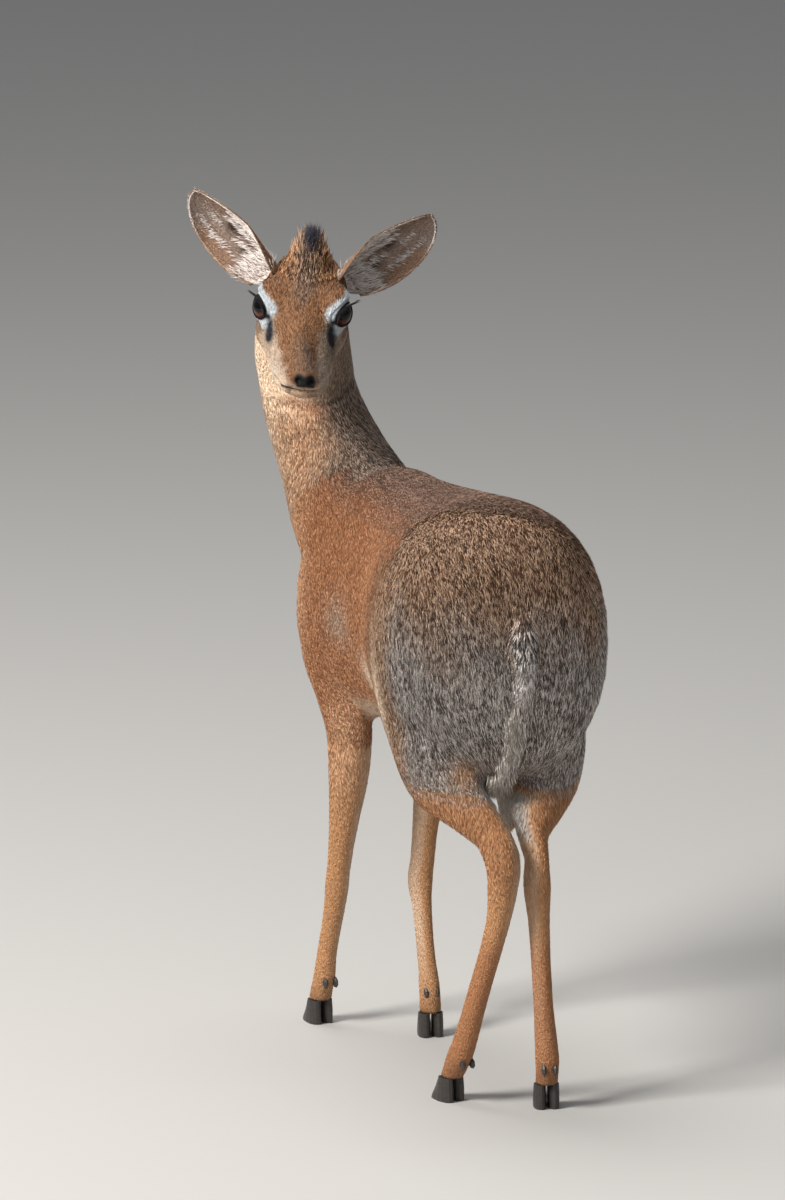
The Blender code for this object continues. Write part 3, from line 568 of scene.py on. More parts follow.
class Markings:
    """The colours of the coat, as soft fields over the body."""

    def shades(self, points: Array, normals: Array, part: Array) -> Array:
        """The three shades of the coat at each place.

        Args:
            points: places on the skin.
            normals: the outward direction there.
            part: the name of the body part there.

        Returns:
            An array of dark, middle and light for each place.
        """
        result = np.tile(FLANK.shades(), (len(points), 1, 1))
        groups = {
            self.torso: part == "torso",
            self.neck: part == "neck",
            self.head: part == "head",
            self.legs: np.char.find(part, "leg") > 0,
            self.ears: np.char.startswith(part, "ear"),
            self.tail: part == "tail",
        }
        for paint, chosen in groups.items():
            if chosen.any():
                result[chosen] = paint(points[chosen], normals[chosen], part[chosen])
        return result

    def torso(self, points: Array, normals: Array, part: Array) -> Array:
        """Rufous flanks, a grey-brown back, a grizzled rump, silver below, and a pale belly.

        Args:
            points: the places.
            normals: the way out at each place.
            part: the body part at each place.

        Returns:
            Three shades for each place.
        """
        x, y, z = points.T
        up = normals[:, 2]
        coat = Paint(FLANK, len(points))
        uneven = ripple(points, 0.05, 3)
        coat.lay(BACK, smooth(0.35, 0.95, up + 0.03 * uneven))
        behind = y - loin_line(points)
        # A darker brown band before the rump: partly the coat's own colour, partly painted shade of the fold
        # in front of the thigh.
        coat.lay(NOSE_RIDGE, 0.8 * smooth(-0.056, -0.012, behind) * smooth(0.385, 0.365, z))
        soft = 0.004 + 0.014 * smooth(0.385, 0.345, z)
        above_hem = smooth(*RUMP_HEM, z + 0.004 * uneven)
        rump = smooth(-1.0, 1.0, (behind + 0.003 * uneven) / soft) * above_hem
        coat.lay(RUMP, rump)
        side = smooth(0.066, 0.112, y + 0.010 * uneven) * above_hem
        coat.lay(RUMP, side * (1 - rump) * smooth(0.375, 0.35, z))
        low = smooth(0.372, 0.304, z + 0.012 * uneven) * smooth(0.095, 0.130, y) * above_hem
        coat.lay(LOW_RUMP, 0.85 * low)
        coat.lay(LEG, smooth(*RUMP_HEM[::-1], z + 0.004 * uneven) * smooth(0.060, 0.100, y))
        # Painted shadow: a dark line along the loin crease, for the shade in the gap where the rump's longer
        # hair starts.
        line = bell(-0.001, 0.0034, behind) * smooth(0.362, 0.382, z)
        coat.lay(CREASE_SHADE, 0.9 * line)
        belly = smooth(0.50, 0.85, -up) * smooth(0.105, 0.085, y) * smooth(-0.14, -0.10, y)
        coat.lay(BELLY, belly)
        fold = blob(points, (0.050, 0.080, 0.270), (0.020, 0.012, 0.046))
        fold += blob(points, (-0.060, 0.080, 0.270), (0.020, 0.012, 0.046))
        fold += blob(points, (0.037, 0.034, 0.281), (0.014, 0.024, 0.017))
        coat.lay(BELLY, 1.1 * fold)
        for elbow in ((0.044, -0.034, 0.308), (-0.044, -0.034, 0.308)):
            coat.lay(ELBOW, 0.95 * blob(points, elbow, (0.020, 0.024, 0.018)))
        # Painted light: the upper foreleg on the lit side lifted to a paler, warmer tone where the light
        # falls on it.
        coat.lay(NECK_SIDE, 0.8 * blob(points, (0.0250, -0.0600, 0.2260), (0.0200, 0.0220, 0.0300)))
        strip = np.interp(z, (0.222, 0.240, 0.285), (0.0100, 0.0040, 0.0030))
        middle = np.interp(z, (0.222, 0.285), (-0.0150, -0.0215))
        vent = smooth(1.5, 0.7, np.abs(x - middle) / strip) * smooth(0.298, 0.284, z)
        coat.lay(LEG, 0.8 * blob(points, (0.0065, 0.145, 0.236), (0.010, 0.030, 0.014)))
        coat.lay(VENT, vent * smooth(0.10, 0.12, y))
        coat.lay(NAPE, smooth(-0.060, -0.085, y) * smooth(0.72, 0.90, up))
        coat.lay(NECK_SIDE, 0.5 * smooth(-0.080, -0.120, y) * smooth(0.9, 0.6, up))
        chest = smooth(-0.118, -0.145, y) * smooth(0.75, 0.35, up)
        coat.lay(NECK_SIDE, chest)
        return coat.shades

    @staticmethod
    def cheek(points: Array) -> Array:
        """How far each point of the neck belongs to the full hair of the cheeks and the jaw.

        Args:
            points: the places.

        Returns:
            1 inside the cheeks and 0 outside them.
        """
        x, y, z = points.T
        above = z - np.interp(x, *zip(*JAW_EDGE)) + 0.0010 * ripple(points, 0.006, 9)
        return smooth(-0.0035, 0.0030, above) * smooth(-0.172, -0.160, y)

    def neck(self, points: Array, normals: Array, part: Array) -> Array:
        """A grizzled nape over warm sides and a cream throat.

        Args:
            points: the places.
            normals: the way out at each place.
            part: the body part at each place.

        Returns:
            Three shades for each place.
        """
        coat = Paint(NECK_SIDE, len(points))
        x, y, z = points.T
        turn = np.radians(np.interp(z, (0.385, 0.430, 0.450, 0.480, 0.510), (100, 135, 155, 205, 240)))
        ways = unit(np.stack([np.cos(turn), np.sin(turn), 0.5 * smooth(0.44, 0.39, z)], axis=1))
        upwards = np.sum(normals * ways, axis=1) + 0.08 * ripple(points, 0.03, 5)
        coat.lay(FLANK, 0.55 * smooth(0.42, 0.37, z) * smooth(-0.12, -0.10, y))
        coat.lay(NAPE, smooth(0.10, 0.62, upwards))
        coat.lay(THROAT, 0.8 * smooth(0.05, -0.6, upwards) * smooth(0.36, 0.42, z))
        jaw = self.cheek(points)
        coat.lay(CHEEK, jaw * smooth(0.040, 0.020, x))
        coat.lay(MUZZLE, jaw * smooth(0.020, 0.040, x))
        coat.lay(NAPE, 0.65 * jaw * smooth(0.016, -0.003, x))
        under = smooth(0.020, 0.040, x) * smooth(-0.175, -0.150, y)
        coat.lay(THROAT, 0.7 * under * smooth(0.425, 0.445, z))
        # Painted shadow: darker rufous just below the jaw's lower edge, for the shade that the chin casts on
        # the neck.
        coat.lay(FLANK, 0.75 * blob(points, (0.0365, -0.1350, 0.4460), (0.0130, 0.0120, 0.0042)))
        coat.lay(FLANK, 0.60 * blob(points, (0.0240, -0.1290, 0.4405), (0.0120, 0.0120, 0.0042)))
        return coat.shades

    def legs(self, points: Array, normals: Array, part: Array) -> Array:
        """Tan legs, paler inside, darker round the hooves.

        Args:
            points: the places.
            normals: the way out at each place.
            part: the body part at each place.

        Returns:
            Three shades for each place.
        """
        coat = Paint(LEG, len(points))
        left = np.char.endswith(part, "left")
        hind = np.char.startswith(part, "hind")
        inner = np.where(left, -normals[:, 0], normals[:, 0])
        x, y, z = points.T
        pale = smooth(0.05, 0.75, inner) * smooth(0.02, 0.08, z)
        coat.lay(INNER_LEG, pale * np.where(hind, 0.55, 0.85))
        coat.lay(FLANK, 0.5 * smooth(0.13, 0.19, z) * (1 - pale) * np.where(hind, 1.0, 0.3))
        coat.lay(FLANK, 0.7 * smooth(0.14, 0.10, z) * hind)
        # Painted light: the upper foreleg on the lit side lifted to a paler, warmer tone where the light
        # falls on it.
        coat.lay(NECK_SIDE, 0.8 * blob(points, (0.0230, -0.0610, 0.2000), (0.0200, 0.0200, 0.0320)))
        coat.lay(NOSE_RIDGE, 0.45 * smooth(0.035, 0.018, z))
        knee = np.where(hind, 0.158, 0.118)
        coat.lay(NOSE_RIDGE, 0.22 * bell(0.0, 0.014, z - knee) * smooth(0.1, -0.8, normals[:, 1]))
        grizzle = smooth(0.212, 0.222, z) * hind * smooth(0.085, 0.105, y)
        coat.lay(LOW_RUMP, 0.6 * grizzle)
        groin = hind * smooth(0.022, 0.010, np.abs(x + 0.034)) * smooth(0.186, 0.196, z)
        coat.lay(VENT, groin * smooth(0.4, 0.9, inner) * ~left)
        return coat.shades

    def ears(self, points: Array, normals: Array, part: Array) -> Array:
        """Brown backs, and grey cups with painted shade in their deep hollow and a brown lower edge.

        Args:
            points: the places.
            normals: the way out at each place.
            part: the body part at each place.

        Returns:
            Three shades for each place.
        """
        result = np.tile(EAR_BACK.shades(), (len(points), 1, 1))
        for name, ear in EAR_SHAPES.items():
            mine = part == name
            u, v = ear.where(points[mine])
            facing = normals[mine] @ np.array(ear.matrix().to_3x3().col[1])
            inner = smooth(0.05, 0.30, facing)
            lower_edge = smooth(0.45, 0.85, v) * smooth(0.15, 0.30, u) * smooth(0.75, 0.55, u)
            coat = Paint(EAR_BACK, len(u))
            coat.lay(EAR_GREY, 0.5 * smooth(0.35, 0.0, u) * (facing < 0))
            coat.lay(EAR_CUP, inner)
            coat.lay(EAR_GREY, inner * smooth(0.15, 0.55, v + 0.25 * u))
            # Painted shade: the deep middle of the cup darkened for the shade that falls into it.
            coat.lay(EAR_HOLLOW_SHADE, inner * np.clip(1.5 * ear.hollow(u, v), 0.0, 1.0))
            coat.lay(EAR_BACK, 0.7 * inner * lower_edge)
            result[mine] = coat.shades
        return result

    def tail(self, points: Array, normals: Array, part: Array) -> Array:
        """A silver tail with dark edges.

        Args:
            points: the places.
            normals: the way out at each place.
            part: the body part at each place.

        Returns:
            Three shades for each place.
        """
        coat = Paint(TAIL, len(points))
        coat.lay(BACK, 0.5 * smooth(0.335, 0.350, points[:, 2]))
        return coat.shades

    def head(self, points: Array, normals: Array, part: Array) -> Array:
        """The face: orange above, a grizzled crown, pale eye rings, pale cheeks and lips.

        Args:
            points: the places.
            normals: the way out at each place.
            part: the body part at each place.

        Returns:
            Three shades for each place.
        """
        place = HEAD.straight(points)
        x, y, z = place.T
        wide = np.abs(x)
        even = place.copy()
        even[:, 0] = wide
        lean = (normals @ HEAD.turn())[:, 2]
        coat = Paint(FACE, len(points))
        spots = ripple(points, 0.009, 8)
        below = smooth(0.35, -0.20, lean + 0.08 * spots)
        coat.lay(CHEEK, below)
        coat.lay(MUZZLE, smooth(-0.012, -0.024, z) * smooth(0.02, 0.05, y))
        coat.lay(THROAT, smooth(-0.2, -0.8, lean))
        brow = np.interp(y, (0.048, 0.060, 0.075, 0.090, 0.106), (0.0225, 0.0180, 0.0125, 0.0095, 0.0078))
        brow = brow + np.where(x > 0, 0.0045 * smooth(0.055, 0.075, y), 0.0)
        outer = smooth(-0.0030, 0.0035, wide - brow + 0.0014 * spots) * smooth(0.046, 0.056, y)
        coat.lay(CHEEK, outer)
        lips = smooth(0.0105, 0.0030, z - Skin.mouth_height(y)) * smooth(0.070, 0.085, y)
        coat.lay(MUZZLE, 0.8 * outer * lips)
        coat.lay(MUZZLE, 0.5 * outer * smooth(0.006, 0.018, x))
        wedge = np.interp(y, (0.020, 0.040, 0.062), (0.0120, 0.0085, 0.0020))
        centre = smooth(0.066, 0.050, y) * smooth(1.5, 0.5, wide / wedge + 0.25 * spots)
        coat.lay(CROWN, 0.85 * centre * smooth(0.0, 0.4, lean))
        on_top = smooth(0.4, 0.8, lean)
        coat.lay(NOSE_RIDGE, smooth(0.070, 0.090, y) * smooth(0.0075, 0.0035, wide) * on_top)
        coat.lay(NOSE_RIDGE, 0.6 * smooth(0.078, 0.098, y) * smooth(0.012, 0.007, wide) * on_top)
        coat.lay(NAPE, 0.75 * smooth(0.006, -0.010, y) * smooth(0.0, 0.6, lean))
        coat.lay(NAPE, 0.55 * smooth(-0.2, -0.9, (normals @ HEAD.turn())[:, 1]))
        self.eyes(coat, points)
        for y_at, z_at, x_at, size in (
            (0.0585, 0.0100, 0.0252, 0.0026),
            (0.0620, 0.0068, 0.0242, 0.0034),
            (0.0655, 0.0036, 0.0230, 0.0044),
            (0.0690, 0.0008, 0.0218, 0.0046),
        ):
            coat.lay(GLAND, 1.7 * blob(even, (x_at, y_at, z_at), (size * 1.9, size, size)))
        pad = smooth(0.1085, 0.1115, y) * smooth(-0.0030, -0.0005, z)
        pad *= smooth(0.0072, 0.0056, wide)
        pad *= smooth(0.0085, 0.0068, z - 0.12 * (0.115 - y))
        coat.lay(NOSE_PAD, pad)
        mouth = bell(0.0, 0.0012, z - Skin.mouth_height(y))
        mouth = mouth * smooth(0.0870, 0.0900, y) * smooth(-0.010, 0.0, x)
        coat.lay(EYE_RING, 0.7 * blob(place, (0.0150, 0.0890, -0.0120), (0.0060, 0.0070, 0.0050)))
        coat.lay(NOSE_PAD, 1.5 * mouth)
        below_lip = bell(-0.0036, 0.0022, z - Skin.mouth_height(y)) * smooth(0.086, 0.092, y)
        coat.lay(THROAT, 0.6 * below_lip * smooth(-0.010, 0.004, x))
        # Painted shade: a dark stripe down the steep side of the nose ridge, where it turns away from the
        # light.
        shade = bell(-0.0034, 0.0026, x) * smooth(0.080, 0.090, y) * smooth(0.111, 0.104, y)
        coat.lay(CROWN, 0.95 * (shade * smooth(0.2, 0.6, lean)))
        pits = blob(even, (0.0050, 0.1130, 0.0035), (0.0036, 0.0050, 0.0034))
        coat.lay(NOSE_PAD, 1.6 * pits)
        return coat.shades

    def eyes(self, coat: Paint, points: Array) -> None:
        """Lays the pale ring and the black lid line round both eyes.

        Args:
            coat: the head's paint.
            points: the places.
        """
        for side in SIDES.values():
            place = EYE.local(points, side)
            across, up, out = (place / EYE.radius).T
            near = np.hypot(place[:, 0] / EYE.half_width, place[:, 1] / EYE.half_height)
            facing = smooth(-0.2, 0.2, out)
            inner = np.where(across * -side > 0, 1.0, 0.0)
            inner = smooth(0.2, 0.9, inner * np.abs(across))
            reach = 1.38 + 0.32 * smooth(0.0, 0.6, up) + 0.26 * inner + 0.50 * smooth(0.0, -0.6, up)
            coat.lay(EYE_RING, facing * smooth(reach + 0.30, reach, near))
            coat.lay(LID, facing * smooth(1.24, 1.12, near - 0.06 * smooth(0.0, 0.6, up)))


MARKINGS = Markings()


@dataclass
class Skin:
    """One skin over the whole body, a little inside the solids so that the coat reaches their faces.

    Folds of the face are given by their height, their middle in the head's frame and their half size.
    """

    voxel: float = 0.0014
    swell: float = 0.00042
    triangles: int = 150000
    tail_top: Triple = (-0.0269, 0.1803, 0.350)
    folds: tuple[tuple[float, Triple, Triple], ...] = (
        (-0.0013, (0.0125, 0.0900, 0.0085), (0.0060, 0.0160, 0.0090)),
        (0.0007, (0.0250, 0.0400, 0.0215), (0.0080, 0.0100, 0.0070)),
        (-0.0011, (0.0232, 0.0640, 0.0050), (0.0036, 0.0070, 0.0070)),
        (-0.0035, (0.0052, 0.1150, 0.0040), (0.0024, 0.0050, 0.0022)),
        (0.0009, (0.0080, 0.1105, 0.0065), (0.0026, 0.0040, 0.0030)),
        (0.0005, (0.0000, 0.1140, 0.0045), (0.0020, 0.0050, 0.0045)),
        (-0.0007, (0.0000, 0.1150, -0.0030), (0.0007, 0.0060, 0.0030)),
        (0.0008, (0.0120, 0.0940, -0.0080), (0.0080, 0.0100, 0.0060)),
    )

    def flesh(self) -> Shell:
        """All solids of flesh, each swollen a little so that they run together.

        Returns:
            All of them as one mesh.
        """
        shapes = []
        for name in BODY:
            mesh = bmesh.new()
            mesh.from_mesh(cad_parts[name].data)
            bmesh.ops.remove_doubles(mesh, verts=mesh.verts, dist=MERGE)
            mesh.verts.index_update()
            shape = Shell(
                np.array([v.co[:] for v in mesh.verts]),
                np.array([[v.index for v in f.verts] for f in mesh.faces]),
            )
            mesh.free()
            shape.points += self.swell * shape.normals()
            shapes.append(shape)
        return joined(shapes + [self.tail_core()])

    def tail_core(self) -> Shell:
        """The flat core of the tail.

        Returns:
            Its closed mesh.
        """
        top = np.array(self.tail_top)
        rows = (
            (-0.009, 0.010, 0.0075, 0.0050),
            (0.004, -0.010, 0.0072, 0.0042),
            (0.0090, -0.032, 0.0068, 0.0036),
            (0.0090, -0.048, 0.0048, 0.0028),
            (0.0080, -0.057, 0.0022, 0.0016),
        )
        turns = np.arange(16) * math.tau / 16
        points = []
        for back, rise, side, deep in rows:
            ring = np.stack([np.cos(turns) * side, back + np.sin(turns) * deep, np.full(16, rise)], axis=1)
            points.append(ring + top)
        points += [points[0].mean(axis=0, keepdims=True), points[-1].mean(axis=0, keepdims=True)]
        index = np.arange(len(rows) * 16).reshape(len(rows), 16)
        after = np.roll(index, -1, axis=1)
        sides = (index[:-1], index[1:], after[:-1], after[:-1], index[1:], after[1:])
        first, last = np.full(16, index.size), np.full(16, index.size + 1)
        ends = (first, index[0], after[0], last, after[-1], index[-1])
        faces = [np.stack(corners, axis=-1).reshape(-1, 3) for corners in (sides, ends)]
        return Shell(np.concatenate(points), np.concatenate(faces))

    def fused(self) -> Shell:
        """The flesh as one closed surface of even faces.

        Returns:
            The surface.
        """
        obj = object_of("flesh", self.flesh())
        step = obj.modifiers.new("Join", "REMESH")
        step.mode = "VOXEL"
        step.voxel_size = self.voxel
        shell = applied(obj).largest()
        log.info("fused flesh: %d triangles", len(shell.faces))
        return shell

    def named(self, shell: Shell) -> Array:
        """The body part nearest to each point.

        Args:
            shell: the skin.

        Returns:
            The part's name for each point.
        """
        points, faces, names = [], [], []
        for name in BODY + ("tail",):
            data = shell_of(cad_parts[name].data)
            faces += (data.faces + len(points)).tolist()
            names += [name] * len(data.faces)
            points += data.points.tolist()
        tree = BVHTree.FromPolygons(points, faces)
        names = np.array(names)
        found = [tree.find_nearest(p)[2] for p in shell.points.tolist()]
        return names[np.array(found)]

    def thinned(self, shell: Shell) -> Shell:
        """The skin with larger faces on the trunk and its small ones kept on the head.

        Args:
            shell: the skin.

        Returns:
            The thinned skin.
        """
        obj = object_of("thin", shell)
        group = obj.vertex_groups.new(name="coarse")
        head = HEAD.inwards(shell.points)
        keep = smooth(-0.052, -0.040, head[:, 2]) * smooth(-0.04, -0.02, head[:, 1])
        weight = np.round(1.0 - 0.9 * keep, 1)
        for value in np.unique(weight):
            group.add(np.nonzero(weight == value)[0].tolist(), float(value), "REPLACE")
        step = obj.modifiers.new("Thin", "DECIMATE")
        step.ratio = self.triangles / len(shell.faces)
        step.vertex_group = "coarse"
        step.vertex_group_factor = 0.00003
        return applied(obj)

    def refined(self, shell: Shell) -> Shell:
        """The skin with each face quartered round the eyes, the nose and the mouth.

        Args:
            shell: the skin.

        Returns:
            The refined skin.
        """
        middle = shell.points[shell.faces].mean(axis=1)
        place = HEAD.straight(middle)
        wanted = (place[:, 1] > 0.094) & (np.abs(place[:, 0]) < 0.03) & (np.abs(place[:, 2]) < 0.04)
        for side in SIDES.values():
            local = EYE.local(middle, side)
            wanted |= (np.linalg.norm(local, axis=1) < 0.0185) & (local[:, 2] > 0.0)
        mouth = np.abs(place[:, 2] - self.mouth_height(place[:, 1])) < 0.006
        wanted |= mouth & (place[:, 1] > 0.078) & (place[:, 1] < 0.12) & (np.abs(place[:, 0]) < 0.03)
        mesh = bmesh.new()
        verts = [mesh.verts.new(p) for p in shell.points.tolist()]
        faces = [mesh.faces.new([verts[i] for i in f]) for f in shell.faces.tolist()]
        edges = {e for f, w in zip(faces, wanted) if w for e in f.edges}
        bmesh.ops.subdivide_edges(mesh, edges=list(edges), cuts=1, use_grid_fill=True)
        bmesh.ops.triangulate(mesh, faces=mesh.faces)
        data = bpy.data.meshes.new("refined")
        mesh.to_mesh(data)
        mesh.free()
        result = shell_of(data)
        bpy.data.meshes.remove(data)
        return result

    @staticmethod
    def mouth_height(y: Array) -> Array:
        """The height of the mouth line at a distance along the nose."""
        return np.interp(y, *zip(*MOUTH_LINE))

    def sculpted(self, shell: Shell) -> None:
        """Presses the folds of the face, the nostrils and the mouth into the skin and raises the lids.

        Args:
            shell: the skin, with its body parts.
        """
        normals = shell.normals()
        place = HEAD.straight(shell.points)
        x, y, z = place.T
        wide = np.abs(x)
        even = place.copy()
        even[:, 0] = wide
        on_head = (shell.part == "head").astype(float)
        lean = (normals @ HEAD.turn())[:, 2]
        move = np.zeros(len(x))
        ridge = smooth(0.058, 0.078, y) * smooth(0.112, 0.104, y) * smooth(0.2, 0.7, lean)
        move += 0.0014 * ridge * bell(0.0, 0.0048, wide)
        for height, spot, size in self.folds:
            move += height * blob(even, spot, size)
        apart = z - self.mouth_height(y)
        along = smooth(0.083, 0.088, y) * (lean < 0.75)
        move -= 0.0017 * along * bell(0.0, 0.0010, apart)
        move -= 0.0008 * along * bell(0.0034, 0.0024, apart)
        move += 0.0030 * along * bell(-0.0050, 0.0036, apart)
        jaw = MARKINGS.cheek(shell.points) * (shell.part == "neck")
        shell.points += (move * on_head + 0.0013 * jaw)[:, None] * normals
        near_head = shell.soften(on_head, 30)
        near_neck = shell.soften((shell.part == "neck").astype(float), 30)
        shell.points = shell.soften(shell.points, 40, 0.5 * np.clip(6.0 * near_head * near_neck, 0.0, 1.0))
        self.lids(shell)

    @staticmethod
    def lids(shell: Shell) -> None:
        """Lays the lids over the eyeballs, and keeps the skin off them.

        Args:
            shell: the skin.
        """
        for side in SIDES.values():
            local = EYE.local(shell.points, side)
            far = np.linalg.norm(local, axis=1)
            near = np.hypot(local[:, 0] / EYE.half_width, local[:, 1] / EYE.half_height)
            front = (local[:, 2] > 0.0) & (far < EYE.radius * 1.7)
            inside = front & (near < 1.0)
            rim = front & (near >= 1.0)
            goal = np.full(len(far), EYE.radius + 0.0011)
            pull = smooth(1.55, 1.05, near) * rim
            reach = far + (goal - far) * pull
            reach = np.where(inside, EYE.radius - 0.0022 * smooth(1.0, 0.85, near), reach)
            crease = 0.0006 * bell(1.42, 0.07, near) * (local[:, 1] > 0) * rim
            reach = reach - crease
            changed = (inside | rim) & (far < EYE.radius * 1.6)
            scale = np.where(changed, reach / np.maximum(far, 1e-9), 1.0)
            shell.points += ((scale - 1.0)[:, None] * local) @ EYE.axes(side).T

    def depth(self, shell: Shell) -> Array:
        """How deep the coat is at each point.

        Args:
            shell: the skin, with its body parts.

        Returns:
            The depth in metres.
        """
        x, y, z = shell.points.T
        head = HEAD.inwards(shell.points)
        depth = np.full(len(x), 0.0012)
        torso = shell.part == "torso"
        depth[torso] = 0.0014 + 0.0009 * smooth(0.07, 0.12, y[torso]) * smooth(0.22, 0.26, z[torso])
        depth[shell.part == "neck"] = 0.0014
        on_head = shell.part == "head"
        depth[on_head] = 0.0010 - 0.0006 * smooth(0.02, 0.06, head[on_head, 1])
        leg = np.char.find(shell.part, "leg") > 0
        depth[leg] = -0.0001 + 0.0011 * smooth(0.13, 0.22, z[leg])
        depth[shell.part == "tail"] = 0.0
        return shell.soften(depth + self.swell, 12)

    def built(self) -> Shell:
        """The finished skin, with each point's body part.

        Returns:
            The skin.
        """
        shell = self.fused()
        shell.points = shell.soften(shell.points, 5, 0.5)
        shell = self.thinned(shell)
        shell = self.refined(shell)
        shell.part = self.named(shell)
        shell.points -= self.depth(shell)[:, None] * shell.normals()
        self.ledge(shell)
        self.sculpted(shell)
        return shell

    @staticmethod
    def ledge(shell: Shell) -> None:
        """Raises the start of the rump's longer hair a little over the shorter hair of the back.

        Args:
            shell: the skin, with its body parts.
        """
        behind = shell.points[:, 1] - loin_line(shell.points)
        rise = smooth(-0.001, 0.004, behind) * smooth(0.045, 0.006, behind)
        rise -= 0.5 * bell(-0.0025, 0.0030, behind)
        rise *= smooth(0.362, 0.382, shell.points[:, 2]) * (shell.part == "torso")
        shell.points += 0.0014 * rise[:, None] * shell.normals()


@dataclass
class Ears:
    """The thin leaves of both ears, as part of the skin."""

    rows: int = 44
    columns: int = 34
    inset: float = 0.00022

    def leaf(self, name: str) -> Shell:
        """One ear's closed leaf, its back and its cup.

        Args:
            name: the ear.

        Returns:
            The leaf, with its body part.
        """
        ear = EAR_SHAPES[name]
        u = 1 - np.linspace(1.0, 0.0, self.rows)[:, None] ** 1.5
        v = np.linspace(-1.0, 1.0, self.columns)[None, :]
        back = ear.surface(u, v, self.inset)
        cup = ear.surface(u, v, ear.wall - self.inset)
        points = np.concatenate([back.reshape(-1, 3), cup.reshape(-1, 3)])
        index = np.arange(self.rows * self.columns).reshape(self.rows, self.columns)
        a, b, c, d = index[:-1, :-1], index[:-1, 1:], index[1:, 1:], index[1:, :-1]
        quads = np.stack([a, b, c, d], axis=-1).reshape(-1, 4)
        half = self.rows * self.columns
        loop = np.concatenate([index[0, :], index[1:, -1], index[-1, -2::-1], index[-2:0:-1, 0]])
        after = np.roll(loop, -1)
        rim = np.stack([after, loop, loop + half, after + half], axis=-1)
        quads = np.concatenate([quads, quads[:, ::-1] + half, rim])
        faces = np.concatenate([quads[:, [0, 1, 2]], quads[:, [0, 2, 3]]])
        shell = Shell(points, faces)
        a, b, c = (points[faces[:, i]] for i in range(3))
        if np.sum(np.cross(a, b) * c) < 0:
            shell.faces = faces[:, ::-1]
        shell.part = np.full(len(points), name)
        return shell


def node_of(tree: NodeTree, kind: str, values: dict[str, object] | None = None, **settings: object) -> Node:
    """A new node.

    Args:
        tree: the tree that it joins.
        kind: the node's type.
        values: the constants of its sockets, by name.
        settings: its own settings.

    Returns:
        The node.
    """
    node = tree.nodes.new(kind)
    for key, value in settings.items():
        setattr(node, key, value)
    for socket, value in (values or {}).items():
        node.inputs[socket].default_value = value
    return node


def wire(tree: NodeTree, *wires: tuple[Node, str, Node, str]) -> None:
    """Links outputs to inputs, each wire given as a node, its output, a node and its input."""
    for source, output, target, socket in wires:
        tree.links.new(source.outputs[output], target.inputs[socket])


class Recipe:
    """A material in the making, varied by fine noise in the piece's own space."""

    def __init__(self, name: str, values: dict[str, float], noise: dict[str, float], squeeze: Triple) -> None:
        """Starts the material and its noise.

        Args:
            name: the material's name.
            values: the constants of its shader's sockets.
            noise: the constants of the noise's sockets.
            squeeze: how much finer the noise is along each axis.
        """
        self.material = bpy.data.materials.new(name)
        self.material.use_nodes = True
        self.tree = self.material.node_tree
        self.shader = self.tree.nodes["Principled BSDF"]
        for socket, value in values.items():
            self.shader.inputs[socket].default_value = value
        place = node_of(self.tree, "ShaderNodeTexCoord")
        mapped = node_of(self.tree, "ShaderNodeMapping", {"Scale": squeeze})
        self.noise = node_of(self.tree, "ShaderNodeTexNoise", noise)
        wire(self.tree, (place, "Object", mapped, "Vector"), (mapped, "Vector", self.noise, "Vector"))

    def tinted(self, low: float, high: float) -> None:
        """Takes the colour from the markings, brightened by the noise.

        Args:
            low: the least share of the markings' light.
            high: the greatest.
        """
        colour = node_of(self.tree, "ShaderNodeAttribute", attribute_name="markings")
        span = node_of(self.tree, "ShaderNodeMapRange", {"To Min": low, "To Max": high})
        tint = node_of(self.tree, "ShaderNodeVectorMath", operation="SCALE")
        wire(
            self.tree,
            (self.noise, "Fac", span, "Value"),
            (colour, "Color", tint, "Vector"),
            (span, "Result", tint, "Scale"),
            (tint, "Vector", self.shader, "Base Color"),
        )

    def ramped(self, dark: Triple, pale: Triple) -> None:
        """Takes the colour between two shades by the noise.

        Args:
            dark: the dark shade.
            pale: the pale one.
        """
        ramp = node_of(self.tree, "ShaderNodeValToRGB")
        for element, shade in zip(ramp.color_ramp.elements, (dark, pale)):
            element.color = (*shade, 1.0)
        wire(self.tree, (self.noise, "Fac", ramp, "Fac"), (ramp, "Color", self.shader, "Base Color"))

    def roughened(self, strength: float, distance: float) -> None:
        """Raises the surface by the noise.

        Args:
            strength: how strongly.
            distance: how high.
        """
        rough = node_of(self.tree, "ShaderNodeBump", {"Strength": strength, "Distance": distance})
        wire(self.tree, (self.noise, "Fac", rough, "Height"), (rough, "Normal", self.shader, "Normal"))


@dataclass(frozen=True)
class CoatFinish:
    """Hair or haired skin, which takes its colour from the markings.

    The markings are a colour at each point; fine noise varies them and roughens the surface.
    """

    name: str
    roughness: float
    specular: float
    bump: float
    vary: float
    gain: float

    def material(self) -> Material:
        """The finish as a material.

        Returns:
            The material.
        """
        values = {"Roughness": self.roughness, "Specular IOR Level": self.specular}
        recipe = Recipe(self.name, values, {"Scale": 620.0, "Detail": 4.0}, (1.0, 1.0, 0.35))
        recipe.tinted(self.gain * (1.0 - self.vary), self.gain * (1.0 + self.vary))
        recipe.roughened(self.bump, 0.0006)
        return recipe.material


@dataclass(frozen=True)
class HornFinish:
    """Dark hoof horn with fine growth lines."""

    name: str = "hoof_horn"
    dark: Triple = (0.008, 0.007, 0.007)
    pale: Triple = (0.060, 0.050, 0.044)

    def material(self) -> Material:
        """The finish as a material.

        Returns:
            The material.
        """
        recipe = Recipe(self.name, {"Roughness": 0.42}, {"Scale": 700.0, "Detail": 3.0}, (0.3, 0.3, 1.6))
        recipe.ramped(self.dark, self.pale)
        recipe.roughened(0.25, 0.0005)
        return recipe.material


